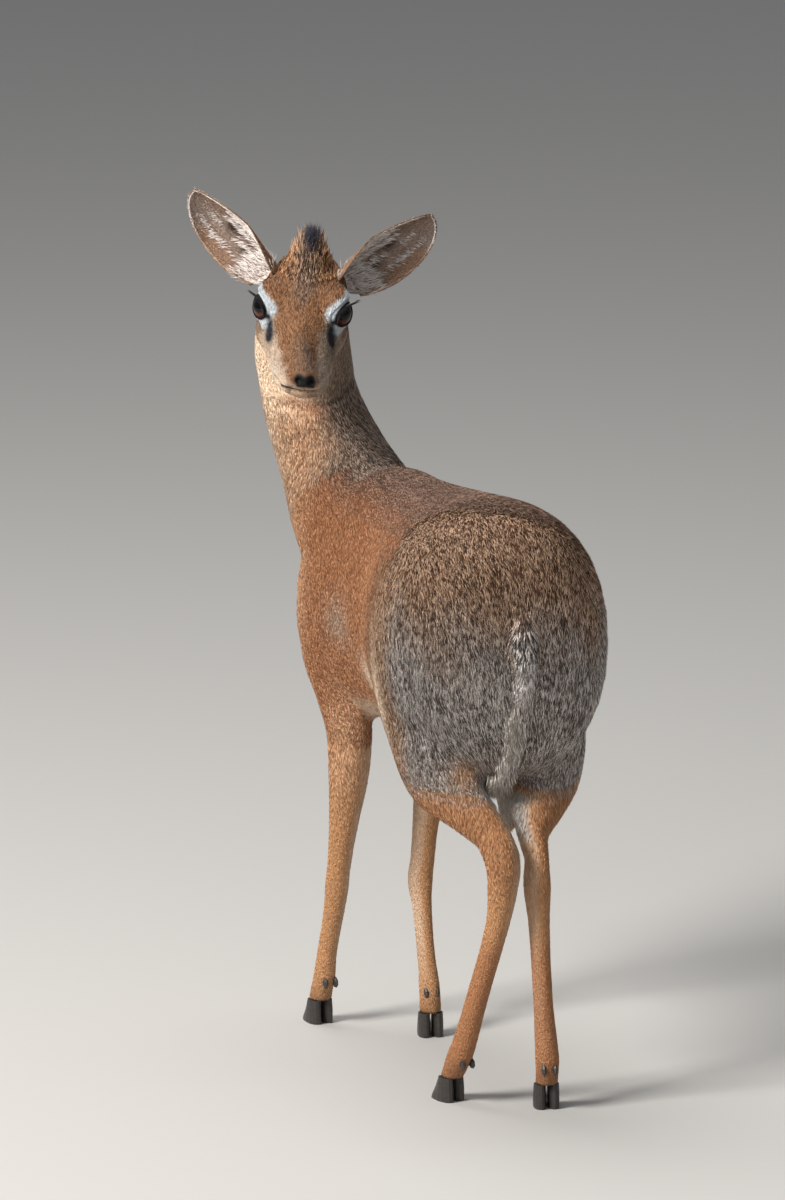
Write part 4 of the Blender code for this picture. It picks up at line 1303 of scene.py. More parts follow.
@dataclass(frozen=True)
class EyeFinish:
    """The wet ball of the eye, with its colour at each point."""

    name: str = "eye_ball"

    def material(self) -> Material:
        """The finish as a material.

        Returns:
            The material.
        """
        wet = {"Roughness": 0.04, "Specular IOR Level": 0.25}
        recipe = Recipe(self.name, wet, {"Scale": 900.0}, (1.0, 1.0, 1.0))
        recipe.tinted(0.75, 1.25)
        return recipe.material


@dataclass(frozen=True)
class BristleFinish:
    """Black hair with a slight shine."""

    name: str = "lash_black"
    dark: Triple = (0.004, 0.004, 0.004)
    pale: Triple = (0.020, 0.018, 0.018)

    def material(self) -> Material:
        """The finish as a material.

        Returns:
            The material.
        """
        recipe = Recipe(self.name, {"Roughness": 0.4}, {"Scale": 400.0}, (1.0, 1.0, 1.0))
        recipe.ramped(self.dark, self.pale)
        return recipe.material


@dataclass
class Roots:
    """Where tufts grow: their places, the way out, the way they lie, the body part and the shades."""

    places: Array
    normals: Array
    lies: Array
    part: Array
    shades: Array

    @staticmethod
    def joined(sets: list["Roots"]) -> "Roots":
        """Several sets of roots as one."""
        columns = zip(*(vars(roots).values() for roots in sets))
        return Roots(*(np.concatenate(column) for column in columns))


@dataclass(frozen=True)
class Tufts:
    """The sizes of a set of tufts: one value for all or one for each.

    Bands go from 0 for an even tuft to 1 for one banded dark and light.
    """

    length: Array | float
    width: Array | float
    lift: Array | float
    bands: Array | float


@dataclass
class Unwrap:
    """A flat map of one part of the skin, rolled off round an axis of that part."""

    axis: Triple

    def flat(self, points: Array) -> Array:
        """Two map coordinates from 0.02 to 0.98 for each place.

        Args:
            points: the places.

        Returns:
            Two numbers for each place.
        """
        axis = unit(np.array(self.axis))
        side = unit(np.cross(axis, (0.31, 0.17, 0.94) if abs(axis[2]) < 0.8 else (1.0, 0.2, 0.0)))
        third = np.cross(axis, side)
        away = points - points.mean(axis=0)
        along = away @ axis
        a, b = away @ side, away @ third
        far = np.hypot(a, b)
        along = along + 0.6 * np.sign(along) * np.maximum(0.0, np.percentile(far, 90) - far)
        turn = np.arctan2(a, b) / math.tau + 0.5
        low, high = along.min(), along.max()
        share = (along - low) / max(high - low, 1e-9)
        return 0.02 + 0.96 * np.stack([turn, share], axis=1)


LONG_RINGS = (0.0, 0.5)


@dataclass
class Hair:
    """Grows tufts of solid mesh from roots.

    Rings lie at shares of a tuft's length. A clump of hair is a stretch longer than it is wide, and
    most tufts follow their clump: dark up to one share of the clumps, then middle, then light.
    """

    seed: int
    rings: tuple[float, ...] = (0.0,)
    map_size: float = 0.003
    clump: float = 0.0010
    stretch: float = 1.9
    follow: float = 0.80
    dark_to: float = 0.42
    middle_to: float = 0.60

    def __post_init__(self) -> None:
        """Starts the random draw."""
        self.rng = np.random.default_rng(self.seed)

    @property
    def each(self) -> int:
        """How many points a tuft has."""
        return 3 * len(self.rings) + 1

    def faces(self) -> Array:
        """The triangles of one tuft.

        Returns:
            Three points for each: its root, its sides from ring to ring and its tip.
        """
        faces = [(0, 2, 1)]
        for ring in range(0, 3 * len(self.rings) - 3, 3):
            for a, b in ((ring, ring + 1), (ring + 1, ring + 2), (ring + 2, ring)):
                faces += [(a, b, b + 3), (a, b + 3, a + 3)]
        last = 3 * len(self.rings) - 3
        faces += [(last + i, last + (i + 1) % 3, last + 3) for i in range(3)]
        return np.array(faces)

    def grow(self, roots: Roots, tufts: Tufts, fan: float) -> tuple[Shell, Array, Array]:
        """Makes the tufts.

        Args:
            roots: where they grow.
            tufts: their sizes.
            fan: how far neighbours differ in direction.

        Returns:
            The mesh, the colour at each point and how far along and across its tuft each point lies.
        """
        count = len(roots.places)
        rng = self.rng
        out = roots.normals
        side = unit(np.cross(out, roots.lies))
        lie = unit(roots.lies + side * rng.normal(0, fan, count)[:, None])
        side = unit(np.cross(out, lie))
        bend = rng.normal(0, 0.10, count)
        length = tufts.length * rng.uniform(0.75, 1.15, count)
        lift = tufts.lift * rng.uniform(0.6, 1.4, count)
        width = tufts.width * rng.uniform(0.75, 1.25, count)
        points, along, across = [], [], []
        for share in self.rings + (1.0,):
            middle = roots.places - out * (0.03 * length)[:, None]
            middle = middle + lie * (length * share * (1 - 0.10 * share))[:, None]
            middle = middle + out * (lift * length * share * (1.55 - 0.75 * share))[:, None]
            middle = middle + side * (bend * length * share * share)[:, None]
            if share == 1.0:
                points.append(middle[:, None])
                along.append(np.ones((count, 1)))
                across.append(np.zeros((count, 1)))
                continue
            slim = 0.62 if share == 0.0 and len(self.rings) > 1 else 1.0 - 0.55 * max(0.0, share - 0.5)
            wide = width * slim
            ring = np.stack(
                [
                    middle - side * (wide / 2)[:, None],
                    middle + side * (wide / 2)[:, None],
                    middle + out * (wide * 0.36)[:, None],
                ],
                axis=1,
            )
            points.append(ring)
            along.append(np.full((count, 3), share))
            across.append(np.tile((-1.0, 1.0, 0.0), (count, 1)))
        faces = self.faces()
        points = np.concatenate(points, axis=1)
        sample = points[0][faces] - points[0, 0]
        if np.sum(np.cross(sample[:, 0], sample[:, 1]) * sample[:, 2]) < 0:
            faces = faces[:, ::-1]
        index = (np.arange(count) * self.each)[:, None, None] + faces[None]
        shell = Shell(points.reshape(-1, 3), index.reshape(-1, 3))
        along = np.concatenate(along, axis=1)
        across = np.concatenate(across, axis=1)
        clump = clumps(roots.places, roots.lies, self.clump, self.stretch * self.clump, rng)
        colours = self.coloured(roots.shades, tufts.bands, along, clump)
        return shell, colours.reshape(-1, 3), np.stack([across, along], axis=-1).reshape(-1, 2)

    def coloured(self, shades: Array, bands: Array | float, along: Array, clump: Array) -> Array:
        """The colour along each tuft, by its bands.

        Args:
            shades: dark, middle and light for each tuft.
            bands: 0 for an even tuft to 1 for one banded dark and light.
            along: how far along its tuft each point lies.
            clump: the share of each tuft's clump.

        Returns:
            A colour for each point of each tuft.
        """
        count = len(shades)
        own = self.rng.uniform(0, 1, count)
        pick = np.where(self.rng.uniform(0, 1, count) < self.follow, clump, own)[:, None]
        tip = np.where(pick < self.dark_to, 0.0, np.where(pick < self.middle_to, 1.0, 2.0))
        dark, middle, light = shades[:, None, 0], shades[:, None, 1], shades[:, None, 2]
        root = 0.45 * middle + 0.55 * dark
        chosen = np.where(tip[..., None] == 0, dark, np.where(tip[..., None] == 1, middle, light))
        banded = root + (chosen - root) * smooth(-0.20, 0.6, along)[..., None]
        even = middle * (0.80 + 0.28 * own + 0.12 * clump)[:, None, None]
        even = even + (light - even) * (0.25 * smooth(0.4, 1.0, along))[..., None]
        share = np.broadcast_to(bands, count)[:, None, None]
        return even * (1 - share) + banded * share

    def piece(
        self, name: str, roots: Roots, tufts: Tufts, unwrap: Unwrap, material: Material, fan: float
    ) -> Object:
        """Grows the tufts as one object, with its map named OFBake.

        Args:
            name: the object's name.
            roots: where they grow.
            tufts: their sizes.
            unwrap: the flat map of their roots.
            material: their finish.
            fan: how far neighbours differ in direction.

        Returns:
            The object.
        """
        shell, colours, spot = self.grow(roots, tufts, fan)
        obj = object_of(name, shell, colours)
        flat = np.repeat(unwrap.flat(roots.places), self.each, axis=0)
        flat = flat + self.map_size * (spot * (0.5, 1.0) - (0.0, 0.5))
        layer = obj.data.uv_layers.new(name="OFBake")
        layer.data.foreach_set("uv", flat[shell.faces.ravel()].astype(np.float32).ravel())
        obj.data.materials.append(material)
        return obj


def clumps(places: Array, lies: Array, across: float, along: float, rng: Draw) -> Array:
    """A random share from 0 to 1 that neighbours in one small clump of hair have in common.

    Args:
        places: the roots of the tufts.
        lies: the way each tuft lies.
        across: the width of a clump.
        along: its length.
        rng: the draw that blurs the edges of the clumps.

    Returns:
        The share of each root's clump.
    """
    stretched = places - lies * np.sum(places * lies, axis=1, keepdims=True) * (1 - across / along)
    cell = np.floor((stretched + rng.normal(0, 0.22 * across, places.shape)) / across)
    mixed = np.sin(cell @ np.array((12.9898, 78.233, 37.719))) * 43758.5453
    return mixed - np.floor(mixed)


def scattered(shell: Shell, weight: Array, count: int, seed: int) -> tuple[Array, Array, Array]:
    """Even random places over a surface.

    Args:
        shell: the surface.
        weight: how dense the places are at each point of it.
        count: how many places.
        seed: the seed of the draw.

    Returns:
        The places, the outward directions and the nearest point's index for each.
    """
    rng = np.random.default_rng(seed)
    corners = shell.points[shell.faces]
    size = np.linalg.norm(np.cross(corners[:, 1] - corners[:, 0], corners[:, 2] - corners[:, 0]), axis=1)
    total = np.cumsum(size * weight[shell.faces].mean(axis=1))
    draw = (np.arange(count) + rng.uniform(0, 1, count)) / count * total[-1]
    face = np.minimum(np.searchsorted(total, draw), len(total) - 1)
    a, b = rng.uniform(0, 1, (2, count))
    over = a + b > 1
    a, b = np.where(over, 1 - a, a), np.where(over, 1 - b, b)
    share = np.stack([1 - a - b, a, b], axis=1)
    places = np.sum(corners[face] * share[..., None], axis=1)
    normals = unit(np.sum(shell.normals()[shell.faces[face]] * share[..., None], axis=1))
    return places, normals, shell.faces[face, np.argmax(share, axis=1)]


class Lie:
    """Which way the hair lies on each part of the body."""

    def ways(self, points: Array, normals: Array, part: Array) -> Array:
        """The direction of the hair along the skin at each place.

        Args:
            points: the places.
            normals: the way out at each place.
            part: the body part at each place.

        Returns:
            A direction of length 1 for each place.
        """
        result = np.tile((0.0, 0.2, -1.0), (len(points), 1))
        torso = part == "torso"
        result[torso] = self.torso(points[torso], normals[torso])
        neck = part == "neck"
        result[neck] = np.array((-0.15, 0.30, -1.0))
        head = part == "head"
        if head.any():
            result[head] = self.head(points[head])
        result[part == "tail"] = (0.0, 0.1, -1.0)
        for name, ear in EAR_SHAPES.items():
            mine = part == name
            result[mine] = np.array(ear.matrix().to_3x3().col[2])
        flat = result - normals * np.sum(result * normals, axis=1, keepdims=True)
        return unit(flat)

    @staticmethod
    def torso(points: Array, normals: Array) -> Array:
        """Back along the spine, down over the flanks and the rump.

        Args:
            points: the places.
            normals: the way out at each place.

        Returns:
            A direction for each place.
        """
        behind = smooth(0.07, 0.15, points[:, 1])
        top = smooth(0.2, 0.9, normals[:, 2])
        down = -0.75 + 0.60 * top * (1 - 0.55 * behind)
        back = 0.75 + 0.25 * top - 0.45 * behind
        inwards = -0.25 * behind * (points[:, 0] + 0.022) / 0.06
        way = np.stack([inwards, back, down], axis=1)
        swirl = ripple(points, 0.06, 17) * 0.12
        way[:, 0] += swirl
        return way

    @staticmethod
    def head(points: Array) -> Array:
        """Up the face from the nose, back over the cheeks, and away from the eyes.

        Args:
            points: the places.

        Returns:
            A direction for each place.
        """
        place = HEAD.straight(points)
        x, y, z = place.T
        wide, sign = np.abs(x), np.sign(x)
        crown = smooth(0.045, 0.015, y) * smooth(0.022, 0.006, wide) * smooth(0.005, 0.015, z)
        aside = sign * (0.35 * smooth(0.0, 0.02, wide) - 0.9 * crown * smooth(0.0, 0.01, wide))
        up = 0.15 - 0.6 * smooth(-0.004, -0.020, z) + 1.2 * crown
        way = np.stack([aside, -np.ones(len(x)), up], axis=1) @ HEAD.turn().T
        for side in SIDES.values():
            away = points - EYE.centre(side)
            near = smooth(1.9, 1.2, np.linalg.norm(away, axis=1) / EYE.radius)
            way += 1.6 * near[:, None] * unit(away)
        return way


LIE = Lie()


class Region(Enum):
    """The pieces that the coat is made in."""

    RUMP_LEFT = "coat_rump_left"
    RUMP_RIGHT = "coat_rump_right"
    BACK = "coat_back"
    SIDE_LEFT = "coat_side_left"
    SIDE_RIGHT = "coat_side_right"
    NECK = "coat_neck"
    HEAD = "coat_head"
    FORELEGS = "coat_forelegs"
    HINDLEGS = "coat_hindlegs"
    EARS = "coat_ears"


@dataclass(frozen=True)
class CoatPatch:
    """One piece of the coat: how many tufts it has, its axis for the map, its seed and its clumps.

    Fan is how far neighbours differ in direction. Plain is the length, the lift and the banding
    where a tuft lies on none of the parts that set them.
    """

    region: Region
    count: int
    axis: Triple
    seed: int
    fan: float = 0.15
    clump: float = 0.0010
    plain: Triple = (0.0070, 0.15, 0.5)

    def weight(self, shell: Shell) -> Array:
        """How dense the coat's roots are at each point of the skin.

        Args:
            shell: the skin, with its body parts.

        Returns:
            0 where none grow, and more where they stand denser.
        """
        x, y, z = shell.points.T
        part = shell.part
        torso = part == "torso"
        rump = y > 0.080
        back = (z > 0.372) | (shell.normals()[:, 2] > 0.75)
        left = x > -0.017
        chosen = {
            Region.RUMP_LEFT: torso & rump & left,
            Region.RUMP_RIGHT: torso & rump & ~left,
            Region.BACK: torso & ~rump & back,
            Region.SIDE_LEFT: torso & ~rump & ~back & left,
            Region.SIDE_RIGHT: torso & ~rump & ~back & ~left,
            Region.NECK: part == "neck",
            Region.HEAD: part == "head",
            Region.FORELEGS: np.char.startswith(part, "fore"),
            Region.HINDLEGS: np.char.startswith(part, "hind"),
            Region.EARS: np.char.startswith(part, "ear"),
        }[self.region]
        weight = chosen.astype(float)
        if self.region is Region.HEAD:
            place = HEAD.straight(shell.points)
            weight *= 1.0 + 2.2 * smooth(0.055, 0.095, place[:, 1])
            pad = (place[:, 1] > 0.1085) & (np.abs(place[:, 0]) < 0.0088)
            weight[pad & (place[:, 2] > -0.004) & (place[:, 2] < 0.0095)] = 0.0
            for side in SIDES.values():
                local = EYE.local(shell.points, side)
                near = np.hypot(local[:, 0] / EYE.half_width, local[:, 1] / EYE.half_height)
                weight[(local[:, 2] > 0) & (near < 1.30) & (np.linalg.norm(local, axis=1) < 0.016)] = 0.0
        if self.region in (Region.FORELEGS, Region.HINDLEGS):
            weight *= 1.0 + 0.9 * smooth(0.16, 0.10, z)
        return weight

    def sizes(self, roots: Roots) -> Tufts:
        """The sizes of the tufts at their roots.

        Args:
            roots: where the tufts grow.

        Returns:
            Their sizes.
        """
        _, y, z = roots.places.T
        part = roots.part
        behind = smooth(0.07, 0.11, y) * smooth(0.225, 0.26, z)
        top = smooth(0.3, 0.8, roots.normals[:, 2])
        ledge = bell(0.004, 0.006, y - loin_line(roots.places)) * (z > 0.37)
        place = HEAD.straight(roots.places)
        face = smooth(0.02, 0.09, place[:, 1])
        crown = smooth(0.040, 0.018, place[:, 1]) * smooth(0.020, 0.010, np.abs(place[:, 0]))
        crown = crown * (place[:, 2] > 0.01)
        jaw = MARKINGS.cheek(roots.places)
        high = smooth(0.11, 0.21, z)
        rows = (
            (
                part == "torso",
                0.0050 + 0.0016 * behind,
                0.15 + 0.13 * behind + 0.10 * ledge,
                0.75 + 0.25 * (top + behind),
            ),
            (part == "head", 0.0042 - 0.0024 * face + 0.0040 * crown, 0.13 + 0.15 * crown, 1.0),
            (part == "neck", 0.0064 - 0.0020 * jaw, 0.15 - 0.08 * jaw, 0.90 - 0.62 * jaw),
            (np.char.find(part, "leg") > 0, 0.0029 + 0.0036 * high, 0.09 + 0.03 * high, 0.28 + 0.40 * high),
            (np.char.startswith(part, "ear"), 0.0030, 0.10, 0.9),
        )
        masks, *columns = zip(*rows)
        length, lift, bands = (np.select(masks, *column) for column in zip(columns, self.plain))
        width = (0.00034 + 0.060 * length) * 1.0
        return Tufts(length, width, lift, np.clip(bands, 0.0, 1.0))

    def built(self, skin: Shell, material: Material) -> Object:
        """The tufts of this piece.

        Args:
            skin: the skin that they grow on.
            material: their finish.

        Returns:
            The object.
        """
        count = self.count
        places, normals, nearest = scattered(skin, self.weight(skin), count, self.seed)
        part = skin.part[nearest]
        shades = MARKINGS.shades(places, normals, part)
        roots = Roots(places, normals, LIE.ways(places, normals, part), part, shades)
        hair = Hair(self.seed, clump=self.clump)
        return hair.piece(self.region.value, roots, self.sizes(roots), Unwrap(self.axis), material, self.fan)


COAT = (
    CoatPatch(Region.RUMP_LEFT, 49000, (0.2, 1.0, 0.0), 11, fan=0.20),
    CoatPatch(Region.RUMP_RIGHT, 47000, (-0.2, 1.0, 0.0), 12, fan=0.20),
    CoatPatch(Region.BACK, 25000, (0.0, 0.2, 1.0), 13),
    CoatPatch(Region.SIDE_LEFT, 41000, (0.0, 1.0, 0.0), 14),
    CoatPatch(Region.SIDE_RIGHT, 25000, (0.0, 1.0, 0.0), 15),
    CoatPatch(Region.NECK, 38000, (0.1, -0.2, 1.0), 16),
    CoatPatch(Region.HEAD, 45000, (0.3, 0.8, -0.4), 17, clump=0.0016),
    CoatPatch(Region.FORELEGS, 19000, (0.0, 0.0, 1.0), 18),
    CoatPatch(Region.HINDLEGS, 22000, (0.0, 0.0, 1.0), 19),
    CoatPatch(Region.EARS, 12000, (1.0, 0.0, 0.7), 20),
)


@dataclass(frozen=True)
class Strip:
    """Hairs in one strip inside an ear: where it lies, which way they point and their sizes.

    Along the ear goes from 0 at its root to 1 at its tip, and over it from -1 to 1 at its lower edge.
    """

    along: tuple[float, float]
    over: tuple[float, float]
    across: float
    length: float
    width: float
    lift: float
    count: int
    edges: bool = False

    def drawn(self, rng: Draw) -> tuple[Array, Array]:
        """Random places along and over the ear, or on its two edges only.

        Args:
            rng: the draw.

        Returns:
            How far along it and over it each place lies.
        """
        along = rng.uniform(*self.along, self.count)
        over = rng.choice(self.over, self.count) if self.edges else rng.uniform(*self.over, self.count)
        return along, over


@dataclass(frozen=True)
class EarFringe:
    """The long pale hairs combed across the cup of each ear, and the short ones along its rim.

    Each row has its place over the ear, its two ends along it, its hairs' length and their number.
    """

    rows: tuple[tuple[float, float, float, float, int], ...] = (
        (-0.90, 0.06, 0.90, 0.0125, 560),
        (-0.58, 0.08, 0.66, 0.0105, 280),
        (-0.25, 0.10, 0.62, 0.0090, 150),
        (0.14, 0.10, 0.72, 0.0075, 150),
        (0.52, 0.12, 0.78, 0.0070, 190),
    )
    root: Strip = Strip((-0.02, 0.16), (-0.97, 0.97), 0.15, 0.0105, 0.00055, 0.20, 360)
    beard: Strip = Strip((0.0, 0.14), (0.05, 0.97), -0.55, 0.0115, 0.00070, 0.06, 360)
    rim: Strip = Strip((0.08, 1.0), (-0.985, 0.985), 0.10, 0.0042, 0.00045, 0.12, 900, edges=True)
    seed: int = 41

    def roots(self) -> tuple[Roots, Tufts]:
        """Where the hairs of both ears grow and their sizes.

        Returns:
            The roots and the sizes, in the same order.
        """
        rng = np.random.default_rng(self.seed)
        roots, sizes = [], []
        for name, ear in EAR_SHAPES.items():
            for over, low, high, length, count in self.rows:
                u = rng.uniform(low, high, count)
                slope = 0.25 * (u - 0.4) * (abs(over) < 0.8)
                v = np.clip(over + rng.normal(0, 0.05, count) + slope, -0.96, 0.95)
                furry = ear.hollow(u, v) < 0.35
                u, v = u[furry], v[furry]
                roots.append(self.combed(name, u, v, 0.75, rng))
                long = length * (1.1 - 0.45 * u) * (1 - 0.45 * (u > 0.55))
                sizes.append(np.stack(np.broadcast_arrays(long, 0.00046, 0.22)))
            for strip in (self.root, self.beard, self.rim):
                roots.append(self.combed(name, *strip.drawn(rng), strip.across, rng))
                sizes.append(np.tile([[strip.length], [strip.width], [strip.lift]], strip.count))
        return Roots.joined(roots), Tufts(*np.concatenate(sizes, axis=1), 0.35)

    @staticmethod
    def combed(name: str, u: Array, v: Array, across: float, rng: Draw) -> Roots:
        """Roots on the inner face of one ear.

        Args:
            name: the ear.
            u: how far along the ear each root lies.
            v: how far over it.
            across: how far the hair points over the ear; below zero it points down to the head.
            rng: the draw that varies it.

        Returns:
            The roots.
        """
        ear = EAR_SHAPES[name]
        inset, step = ear.wall - 0.0001, 0.01
        places = ear.surface(u, v, inset)
        along = unit(ear.surface(u + step, v, inset) - places)
        over = unit(ear.surface(u, v + step, inset) - places)
        normals = unit(np.cross(over, along))
        outwards = np.array(ear.matrix().to_3x3().col[1])
        normals *= np.sign(np.sum(normals * outwards, axis=1, keepdims=True))
        varied = across * rng.uniform(0.8, 1.2, (len(u), 1))
        lies = unit(over * varied + along * math.copysign(0.65, across))
        coat = Paint(FRINGE, len(u))
        coat.lay(EAR_BACK, 0.85 * (v > 0.9) * smooth(0.05, 0.20, u) * smooth(0.80, 0.60, u))
        return Roots(places, normals, lies, np.full(len(u), name), coat.shades)

    def built(self, material: Material) -> Object:
        """The hairs as one piece."""
        hair = Hair(self.seed, LONG_RINGS)
        return hair.piece("coat_ear_fringe", *self.roots(), Unwrap((1.0, 0.0, 0.7)), material, 0.12)


@dataclass(frozen=True)
class CrestBrush:
    """The upright cone of longer hair on the crown, with its blue-black top."""

    place: Triple = (-0.001, 0.011, 0.0195)
    half_width: float = 0.0225
    half_length: float = 0.0270
    low: float = 0.0050
    high: float = 0.0290
    count: int = 7800
    seed: int = 51

    def built(self, skin: Shell, material: Material) -> Object:
        """The brush as one piece.

        Args:
            skin: the skin that it grows on.
            material: its finish.

        Returns:
            The object.
        """
        rng = np.random.default_rng(self.seed)
        count = self.count
        angle = rng.uniform(0, math.tau, count)
        reach = rng.uniform(0, 1, count) ** 0.72
        side, ahead = reach * np.cos(angle), reach * np.sin(angle)
        local = np.stack([side * self.half_width, ahead * self.half_length, np.full(count, 0.02)], axis=1)
        local += np.array(self.place)
        tree = BVHTree.FromPolygons(skin.points.tolist(), skin.faces.tolist())
        down = -Vector(HEAD.turn()[:, 2])
        hits = [tree.ray_cast(Vector(point), down) for point in HEAD.outwards(local).tolist()]
        places, normals = (np.array([hit[i][:] for hit in hits]) for i in (0, 1))
        inner = smooth(0.95, 0.25, reach)
        line = np.stack([-0.34 * side, -0.30 - 0.25 * ahead, 0.28 + 0.92 * inner], axis=1)
        line += rng.normal(0, 0.07, (count, 3))
        line = unit(unit(line) @ HEAD.turn().T + 0.12 * normals)
        across = unit(np.cross(line, rng.normal(size=(count, 3))))
        wide = np.abs(side)
        coat = Paint(CREST, count)
        coat.lay(FACE, smooth(0.30, 0.75, wide))
        coat.lay(FACE, 0.8 * smooth(0.55, 0.95, ahead) * smooth(0.15, 0.40, wide))
        coat.lay(CROWN, 0.8 * smooth(0.45, 0.15, wide) * smooth(-0.3, 0.4, ahead))
        heart = smooth(0.30, 0.16, np.hypot(side + 0.04, (ahead - 0.06) * 0.6))
        coat.lay(CREST_PATCH, heart)
        roots = Roots(places - line * 0.001, across, line, np.full(count, "head"), coat.shades)
        length = self.low + (self.high - self.low) * smooth(0.90, 0.15, reach)
        tufts = Tufts(length, 0.00042 + 0.010 * length, 0.03, 0.95 * (1 - 0.6 * heart))
        hair = Hair(self.seed, LONG_RINGS)
        return hair.piece("coat_crest", roots, tufts, Unwrap((0.3, 0.8, -0.4)), material, 0.05)


@dataclass(frozen=True)
class TailHair:
    """The long hair of the tail, silver in the middle and dark along its edges."""

    count: int = 5200
    seed: int = 61
    half_width: float = 0.0075
    sizes: Tufts = Tufts(0.0120, 0.00066, 0.16, 0.9)

    def built(self, skin: Shell, material: Material) -> Object:
        """The tail's hair as one piece.

        Args:
            skin: the skin that it grows on.
            material: its finish.

        Returns:
            The object.
        """
        weight = (skin.part == "tail").astype(float) * (skin.points[:, 2] < 0.352)
        places, normals, _ = scattered(skin, weight, self.count, self.seed)
        aside = (places[:, 0] - Skin().tail_top[0]) / self.half_width
        height = places[:, 2]
        coat = Paint(TAIL, self.count)
        coat.lay(BACK, 0.7 * smooth(0.335, 0.352, height))
        # Painted light: the lower tail lightened toward pale, against the shade where it curves under.
        coat.lay(FRINGE, 0.55 * smooth(0.332, 0.308, height))
        coat.lay(NAPE, 0.8 * smooth(0.60, 0.98, np.abs(aside)) * smooth(0.300, 0.325, height))
        lies = unit(np.stack(np.broadcast_arrays(0.26 * aside, 0.05, -1.0), axis=1))
        lies = unit(lies - normals * np.sum(lies * normals, axis=1, keepdims=True))
        roots = Roots(places, normals, lies, np.full(self.count, "tail"), coat.shades)
        hair = Hair(self.seed, LONG_RINGS)
        return hair.piece("coat_tail", roots, self.sizes, Unwrap((0.0, 0.0, 1.0)), material, 0.10)


@dataclass(frozen=True)
class VentHair:
    """The strip of long cream hair that hangs from below the tail between the thighs."""

    count: int = 2400
    seed: int = 67
    heights: tuple[float, float] = (0.215, 0.285)
    middles: tuple[float, float] = (-0.0180, -0.0215)

    def built(self, skin: Shell, material: Material) -> Object:
        """The strip's hair as one piece.

        Args:
            skin: the skin that it grows on.
            material: its finish.

        Returns:
            The object.
        """
        x, y, z = skin.points.T
        reach = np.interp(z, (0.215, 0.236, 0.285), (0.0100, 0.0036, 0.0022))
        within = np.abs(x - np.interp(z, self.heights, self.middles)) < reach
        weight = within & (y > 0.105) & (z < 0.288) & (z > 0.212) & (skin.part == "torso")
        places, normals, _ = scattered(skin, weight.astype(float), self.count, self.seed)
        aside = (places[:, 0] - np.interp(places[:, 2], self.heights, self.middles)) / 0.008
        low = smooth(0.250, 0.222, places[:, 2])
        lies = unit(np.stack(np.broadcast_arrays(0.30 * aside * low, 0.05 + 0.25 * low, -1.0), axis=1))
        lies = unit(lies - normals * np.minimum(np.sum(lies * normals, axis=1, keepdims=True), 0.0))
        across = unit(normals - lies * np.sum(lies * normals, axis=1, keepdims=True))
        coat = Paint(VENT, self.count)
        coat.lay(LOW_RUMP, 0.6 * smooth(0.7, 1.4, np.abs(aside)) * (1 - low))
        roots = Roots(places, across, lies, np.full(self.count, "torso"), coat.shades)
        tufts = Tufts(0.0090 + 0.0070 * low, 0.00060, 0.14, 0.7)
        hair = Hair(self.seed, LONG_RINGS)
        return hair.piece("coat_vent", roots, tufts, Unwrap((0.0, 1.0, 0.0)), material, 0.10)


@dataclass
class Eyeball:
    """One eye: a ball with a slightly fuller front, a wide level pupil and a dark brown ring."""

    side: str
    columns: int = 64
    rows: int = 48

    def built(self, material: Material) -> Object:
        """The eyeball as one piece.

        Args:
            material: its finish.

        Returns:
            The object.
        """
        sign = SIDES[self.side]
        turns = np.arange(self.columns) * math.tau / self.columns
        tilts = np.linspace(0, math.pi, self.rows)[1:-1]
        tilt, turn = (g.ravel() for g in np.meshgrid(tilts, turns, indexing="ij"))
        local = np.stack([np.sin(tilt) * np.cos(turn), np.sin(tilt) * np.sin(turn), np.cos(tilt)], axis=1)
        local = np.concatenate([local, [(0, 0, 1), (0, 0, -1)]])
        full = EYE.radius * (1.0 + 0.035 * smooth(0.62, 0.95, local[:, 2]) - 0.004)
        index = np.arange(len(tilts) * self.columns).reshape(len(tilts), self.columns)
        a, b = index[:-1], np.roll(index, -1, axis=1)[:-1]
        c, d = np.roll(index, -1, axis=1)[1:], index[1:]
        faces = [np.stack([a, d, c], -1).reshape(-1, 3), np.stack([a, c, b], -1).reshape(-1, 3)]
        top, low = len(local) - 2, len(local) - 1
        ends = np.roll(index, -1, axis=1)
        faces.append(np.stack([np.full(self.columns, top), index[0], ends[0]], -1))
        faces.append(np.stack([np.full(self.columns, low), ends[-1], index[-1]], -1))
        colours = self.colours(local)
        points = EYE.outwards(local * full[:, None], sign)
        obj = object_of(f"eyeball_{self.side}", Shell(points, np.concatenate(faces)), colours)
        obj.data.materials.append(material)
        return obj

    @staticmethod
    def colours(local: Array) -> Array:
        """Pupil, ring and white by direction from the middle of the eye.

        Args:
            local: the directions in the eye's own frame.

        Returns:
            A colour for each direction.
        """
        across, up, out = local.T
        pupil = smooth(1.12, 0.92, np.hypot(across / 0.56, (up - 0.17) / 0.38))
        ring = smooth(0.95, 0.86, np.hypot(across, up)) * (out > 0)
        rays = 0.5 + 0.5 * np.sin(np.arctan2(up, across) * 46.0)
        brown = linear(80, 38, 24)[None] * (0.75 + 0.35 * rays[:, None])
        # Painted light: the lower part of the ring brightened, for the glow of light through the front of the
        # eye.
        brown = brown * (1.0 + 0.9 * smooth(-0.1, -0.7, up))[:, None]
        colours = np.tile(linear(26, 19, 17), (len(local), 1))
        colours = colours + (brown - colours) * ring[:, None]
        return colours + (linear(4, 4, 6)[None] - colours) * (pupil * ring)[:, None]


